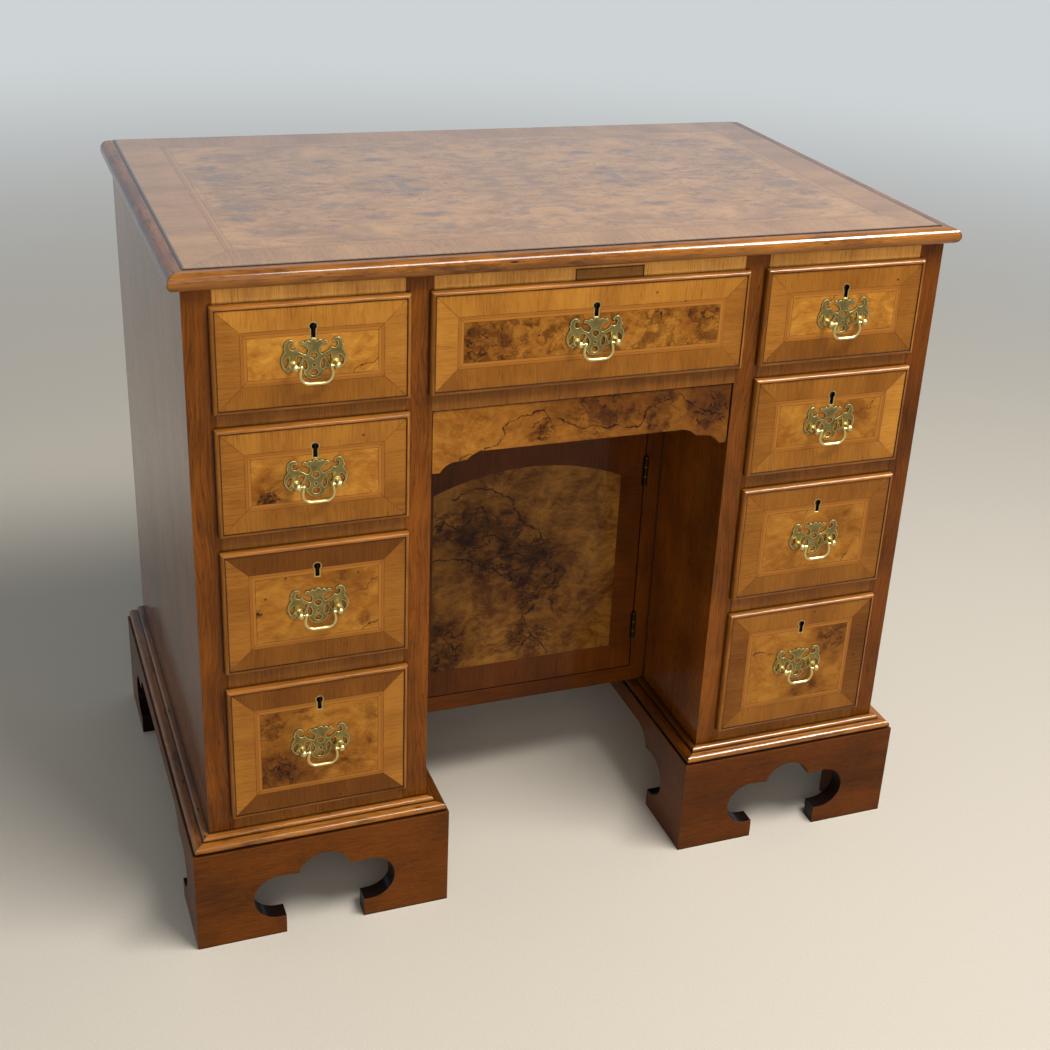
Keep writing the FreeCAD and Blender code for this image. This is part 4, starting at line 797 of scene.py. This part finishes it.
class DESK_OT_finish_drawers(bpy.types.Operator):
    """Veneer the nine drawer fronts and finish their linings"""

    bl_idname = "desk.finish_drawers"
    bl_label = "Drawers"

    def execute(self, context):
        lining = lining_material("Drawer lining", "y")
        for seed, drawer in enumerate(DRAWERS):
            set_material(self.front(drawer, seed), drawer + "_front")
            set_material(lining, drawer + "_box")
        set_material(lining, "apron_drawer_box")
        return {"FINISHED"}

    def front(self, drawer, seed):
        bench = new_material(drawer.replace("_", " ").capitalize() + " veneer")
        veneer = bench.veneer
        place, half, low = front_face(bench, drawer + "_front", veneer.bead_width)
        field = panel_field(bench, place, half)
        tones, brightness, mottle = DRAWER_SHARES[drawer]
        colours = (shaded(veneer.gold, brightness), shaded(veneer.brown, brightness))
        panel, _ = burr_panel(bench, drawer, place, half, colours, mottle, width=0.0005, seed=seed)
        widths = (veneer.band_width, veneer.feather_width)
        colours = (veneer.band_pale, veneer.band_dark, veneer.feather)
        face, height = banded(bench, place, field, widths, panel, tones, colours, seed * 0.37)
        specks = bench.fade(bench.cells(bench.shift(place, (seed, 0.0, 0.0)), 30), 0.055, 0.03)
        face = bench.stain(specks, 0.7, face, veneer.ink)
        edge, _, side = field
        x, y, z = bench.axes()
        bead, _ = walnut(bench, bench.grain(side, x, z, y), bench.pair("moulding"), figure=0.01)
        wood = bench.mix(bench.over(edge, 0.0), bead, face)
        wood = bench.stain(bench.line(edge, veneer.seam_width * 2.2), 0.85, wood, bench.timber.soot_and_shade)
        return polish(bench, self.core(bench, wood, low.z), height, rough=0.34)

    def core(self, bench, wood, foot):
        """The plain board behind the lip, with the tails of the drawer's sides let into its ends."""
        timber = bench.timber
        _, y, z = bench.axes()
        board, _ = walnut(bench, bench.place(), bench.pair("lining"), figure=0.02)
        behind = bench.minus(y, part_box("top_rails")[0].y)
        pitches = bench.sum("FRACT", bench.times(bench.minus(z, foot), 1 / TAIL_PITCH))
        reach = bench.times_plus(behind, -TAIL_LOSS, TAIL_SHARE)
        inside = bench.minus(reach, bench.size(bench.minus(pitches, 0.5)))
        inside = bench.times(inside, TAIL_PITCH)
        ends = bench.times(bench.over(bench.facing()[0], 0.7), bench.over(behind, TAIL_LAP))
        board = bench.stain(bench.times(bench.over(inside, 0.0), ends), 0.6, board, timber.lining_dark)
        board = bench.stain(bench.times(bench.line(inside, width=0.0008), ends), 0.8, board, timber.soot_and_shade)
        return bench.mix(bench.over(behind, 0.0), wood, board)


class DESK_OT_finish_apron(bpy.types.Operator):
    """Veneer the apron drawer's shaped front"""

    bl_idname = "desk.finish_apron"
    bl_label = "Apron"

    def execute(self, context):
        bench = new_material("Apron veneer")
        place, half, low = front_face(bench, "apron_drawer_front")
        colours = (shaded(bench.veneer.gold, 0.78), shaded(bench.veneer.brown, 0.8))
        wood, height = burr_panel(bench, "apron", place, half, colours, 0.25, width=0.0008, seed=5.0)
        across, _, _ = bench.parts(place)
        wood = bench.tint(wood, bench.between(bench.fade(across, -half[0], half[0] * 0.6), 0.98, 0.52))
        set_material(polish(bench, backed(bench, wood, low.y), height, rough=0.36), "apron_drawer_front")
        ease_edges("apron_drawer_front", WOOD_EASE)
        return {"FINISHED"}


class DESK_OT_finish_cupboard(bpy.types.Operator):
    """Veneer the kneehole door and finish its frame and shelf"""

    bl_idname = "desk.finish_cupboard"
    bl_label = "Kneehole cupboard"

    def execute(self, context):
        set_material(self.door_veneer(), "cupboard_door")
        ease_edges("cupboard_door", WOOD_EASE)
        set_material(self.frame_walnut(), "cupboard_frame")
        set_material(lining_material("Cupboard boards", "x"), "cupboard_boards")
        return {"FINISHED"}

    def door_veneer(self):
        bench = new_material("Door veneer")
        veneer = bench.veneer
        place, half, low = front_face(bench, "cupboard_door")
        inside, side = self.arched_field(bench, place, half)
        across, up, _ = bench.parts(place)
        grain = bench.grain(side, up, across, 0.2)
        band, height = walnut(bench, grain, bench.pair("plinth", 0.7), figure=0.01)
        colours = (veneer.door_gold, veneer.door_brown)
        panel, _ = burr_panel(bench, "door", place, half, colours, 0.18, width=0.0012, seed=2.0)
        wood = bench.mix(bench.over(inside, 0.0), band, panel)
        wood = bench.stain(bench.line(inside, veneer.seam_width), 0.6, wood, veneer.seam)
        return polish(bench, backed(bench, wood, low.y), height, rough=0.4, coat=0.4)

    def arched_field(self, bench, place, half):
        """How far inside the arched panel a point lies, and whether a side of it is nearest."""
        veneer = bench.veneer
        across, up, _ = bench.parts(place)
        panel_half = half[0] - veneer.door_band_width
        rise = veneer.door_spring - veneer.door_crown
        radius = (panel_half ** 2 + rise ** 2) / (2 * rise)
        centre = (0.0, half[1] - veneer.door_crown - radius, 0.0)
        from_arch = bench.minus(radius, bench.away(place, centre))
        from_side = bench.minus(panel_half, bench.size(across))
        from_foot = bench.plus(up, half[1] - veneer.door_foot_width)
        from_ends = bench.least(from_arch, from_foot)
        return bench.least(from_side, from_ends), bench.under(from_side, from_ends)

    def frame_walnut(self):
        bench = new_material("Cupboard frame")
        x, y, z = bench.axes()
        upright = bench.over(bench.size(x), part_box("cupboard_door")[1].x)
        grain = bench.grain(upright, x, z, y)
        wood, height = walnut(bench, grain, bench.pair("plinth", 0.75), figure=0.02)
        return polish(bench, wood, height, rough=0.38, coat=0.3)


class DESK_OT_finish_plinth(bpy.types.Operator):
    """Polish the bracket feet and their mouldings"""

    bl_idname = "desk.finish_plinth"
    bl_label = "Plinth"

    def execute(self, context):
        low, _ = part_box("left_outer_side")
        inner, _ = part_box("right_inner_side")
        axis = (inner.x - low.x) / 2
        half = (-low.x - inner.x) / 2
        set_material(self.bracket_walnut(axis, half, low.y), "left_bracket_feet", "right_bracket_feet")
        # The base moulding's inner side strips, in the kneehole, at 0.3 as painted shade
        set_material(strip_material("Base moulding", axis, half, low.y, (0.9, 0.3)), "base_mouldings")
        return {"FINISHED"}

    def bracket_walnut(self, axis, half, front):
        """Long grain on the faces, and blackened edges where the brackets are sawn out."""
        bench = new_material("Bracket walnut")
        side, _ = strip_side(bench, axis, half, front)
        x, y, z = bench.axes()
        wood, height = walnut(bench, bench.grain(side, x, y, z), bench.pair("plinth"), figure=0.06)
        # Painted shade: the right plinth drawn darker
        wood = bench.tint(wood, bench.between(bench.over(x, 0.0), 1.0, RIGHT_PAINTED_SHADE))
        sideways, forward, _ = bench.facing()
        at_back = bench.over(y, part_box("left_bracket_feet")[1].y - BACK_REACH)
        outward = bench.between(side, forward, sideways)
        plain = bench.between(at_back, outward, bench.most(sideways, forward))
        below = bench.under(z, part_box("base_mouldings")[0].z - SAWN_GAP)
        sawn = bench.times(bench.fade(plain, 0.7, 0.5), below)
        return polish(bench, bench.mix(sawn, wood, bench.timber.soot_and_shade), height, rough=0.4, coat=0.3)


class DESK_OT_finish_brass(bpy.types.Operator):
    """Finish the handles, keyhole liners, locks and hinges"""

    bl_idname = "desk.finish_brass"
    bl_label = "Brass"

    def execute(self, context):
        plates = self.brass("Plate brass", 0.36, 0.8)
        bails = self.brass("Bail brass", 0.32, 0.5)
        hinges = self.brass("Hinge brass", 0.45, 1.3, 0.35)
        for drawer in DRAWERS:
            set_material(plates, drawer + "_brass")
            ease_edges(drawer + "_brass", width=0.00025)
            set_material(bails, drawer + "_bail")
        set_material(hinges, "cupboard_door_brass", "frame_hinges")
        return {"FINISHED"}

    def brass(self, name, rough, tarnish, age=1.0):
        """Brass tarnished on its flats, edges lighter by rubbing and painted highlight, keyholes black as
        painted shade.
        """
        bench = new_material(name)
        metal, soot_and_shade = bench.metal, bench.timber.soot_and_shade
        film = bench.noise(bench.place(), 120, detail=4, roughness=0.6)
        _, flat = bench.edges(radius=0.002, samples=6)
        _, y, _ = bench.axes()
        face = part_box("long_drawer_front")[0].y
        proud = bench.times(bench.under(y, face - HANDLED_DEPTH), 0.7)
        # Edges lighter by rubbing and as a painted highlight; proud parts lighter by rubbing
        rubbed_and_highlit = bench.most(bench.fade(flat, 0.992, 0.86), proud)
        dulled = bench.times(bench.times_plus(film, 0.6, tarnish - 0.3), bench.minus(1.0, rubbed_and_highlit))
        shade = bench.mix(dulled, shaded(metal.bright, age), shaded(metal.dull, age))
        # Hollows darkened from ambient occlusion: dirt, and painted shade
        dirt_and_shade = bench.fade(bench.open_air(reach=0.003, samples=6), 0.6, 0.25)
        shade = bench.stain(dirt_and_shade, 0.8, shade, soot_and_shade)
        # Painted shade: the keyhole's inside drawn black
        before_box = bench.under(y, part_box("long_drawer_box")[0].y)
        inside = bench.times(bench.over(y, face + KEYHOLE_DEPTH), before_box)
        shade = bench.stain(inside, 0.95, shade, soot_and_shade)
        bump = bench.bump(film, depth=0.0001, strength=0.2)
        return finish_material(bench, shade, bench.times_plus(film, 0.2, rough - 0.1), bump, Metallic=1.0)


class DESK_OT_set_stage(bpy.types.Operator):
    """Lay the floor, hang the lamps and set up the camera"""

    bl_idname = "desk.set_stage"
    bl_label = "Stage"

    def execute(self, context):
        stage = context.scene.desk_stage
        self.floor(stage)
        self.air(stage)
        lamps = {name: self.lamp(name, *lamp) for name, lamp in LAMPS.items()}
        lamps["card"].visible_diffuse = False
        self.camera(stage)
        context.scene.view_settings.view_transform = "Standard"
        return {"FINISHED"}

    def stand(self, name, data):
        """A new object in the scene."""
        thing = bpy.data.objects.new(name, data)
        bpy.context.scene.collection.objects.link(thing)
        return thing

    def floor(self, stage):
        mesh = bpy.data.meshes.new("floor")
        reach = stage.floor_reach
        corners = [(-reach, -reach, 0), (reach, -reach, 0), (reach, reach, 0), (-reach, reach, 0)]
        mesh.from_pydata(corners, [], [(0, 1, 2, 3)])
        floor = self.stand("floor", mesh)
        bench = new_material("Floor")
        speckle = bench.fade(bench.noise(bench.place(), 700), 0.4, 0.7)
        base = bench.stain(speckle, 0.5, stage.floor_pale, stage.floor_speck)
        feeds = {"Base Color": base, "Roughness": 0.9, "Specular IOR Level": 0.1}
        near = bench.lay("ShaderNodeBsdfPrincipled", feeds)
        far = bench.lay("ShaderNodeEmission", {"Color": stage.backdrop})
        away = bench.vectors("LENGTH", bench.place(), output="Value")
        path = bench.lay("ShaderNodeLightPath").outputs
        seen = bench.most(path["Is Camera Ray"], path["Is Glossy Ray"])
        seen = bench.times(bench.fade(away, stage.fade_start, stage.fade_end), seen)
        bench.lay("ShaderNodeOutputMaterial", {"Surface": bench.blend(seen, near, far)})
        mesh.materials.append(bench.material)

    def air(self, stage):
        """Soft light from all round: pale behind the desk, dimmer behind the camera and above."""
        world = bpy.data.worlds.new("Studio")
        bpy.context.scene.world = world
        world.use_nodes = True
        world.node_tree.nodes.clear()
        bench = Bench(world.node_tree)
        _, y, z = bench.parts(bench.lay("ShaderNodeTexCoord").outputs["Generated"])
        round_about = bench.mix(bench.fade(y, -0.6, 0.6), stage.front_light, stage.back_light)
        light = bench.mix(bench.fade(z, 0.2, 0.9), round_about, stage.top_light)
        lit = bench.lay("ShaderNodeBackground", {"Color": light, "Strength": stage.soft_light})
        seen = bench.lay("ShaderNodeBackground", {"Color": stage.backdrop})
        by_camera = bench.lay("ShaderNodeLightPath").outputs["Is Camera Ray"]
        bench.lay("ShaderNodeOutputWorld", {"Surface": bench.blend(by_camera, lit, seen)})

    def lamp(self, name, place, size, power):
        lamp = bpy.data.lights.new(name, "AREA")
        lamp.shape = "RECTANGLE"
        lamp.size, lamp.size_y = size
        lamp.energy = power
        holder = self.stand(name, lamp)
        holder.location = place
        holder.rotation_euler = (Vector(LAMP_AIM) - Vector(place)).to_track_quat("-Z", "Y").to_euler()
        return holder

    def camera(self, stage):
        lens = bpy.data.cameras.new("camera")
        lens.sensor_width = stage.camera_sensor
        lens.lens = stage.camera_lens
        lens.shift_x, lens.shift_y = stage.camera_shift
        camera = self.stand("camera", lens)
        aim = Vector(stage.camera_aim).normalized()
        across = aim.cross(Vector(stage.camera_up)).normalized()
        turn = Matrix((across, across.cross(aim), -aim)).transposed().to_4x4()
        camera.matrix_world = Matrix.Translation(Vector(stage.camera_place)) @ turn
        bpy.context.scene.camera = camera


class DESK_PT_finishes(bpy.types.Panel):
    """The desk's finishes and stage"""

    bl_label = "Kneehole desk"
    bl_idname = "DESK_PT_finishes"
    bl_space_type = "VIEW_3D"
    bl_region_type = "UI"
    bl_category = "Desk"

    def draw(self, context):
        for operator in OPERATORS:
            self.layout.operator(operator.bl_idname)


OPERATORS = (
    DESK_OT_finish_top,
    DESK_OT_finish_carcase,
    DESK_OT_finish_drawers,
    DESK_OT_finish_apron,
    DESK_OT_finish_cupboard,
    DESK_OT_finish_plinth,
    DESK_OT_finish_brass,
    DESK_OT_set_stage,
)
SETTINGS = {
    "desk_veneer": DeskVeneer,
    "desk_timber": DeskTimber,
    "desk_brass": DeskBrass,
    "desk_stage": DeskStage,
}


def register():
    for kind in (*SETTINGS.values(), *OPERATORS, DESK_PT_finishes):
        bpy.utils.register_class(kind)
    for name, kind in SETTINGS.items():
        setattr(bpy.types.Scene, name, PointerProperty(type=kind))


def unregister():
    for name in SETTINGS:
        delattr(bpy.types.Scene, name)
    for kind in (DESK_PT_finishes, *OPERATORS, *SETTINGS.values()):
        bpy.utils.unregister_class(kind)


def main():
    register()
    for operator in OPERATORS:
        group, name = operator.bl_idname.split(".")
        getattr(getattr(bpy.ops, group), name)()


if __name__ == "__main__":
    main()
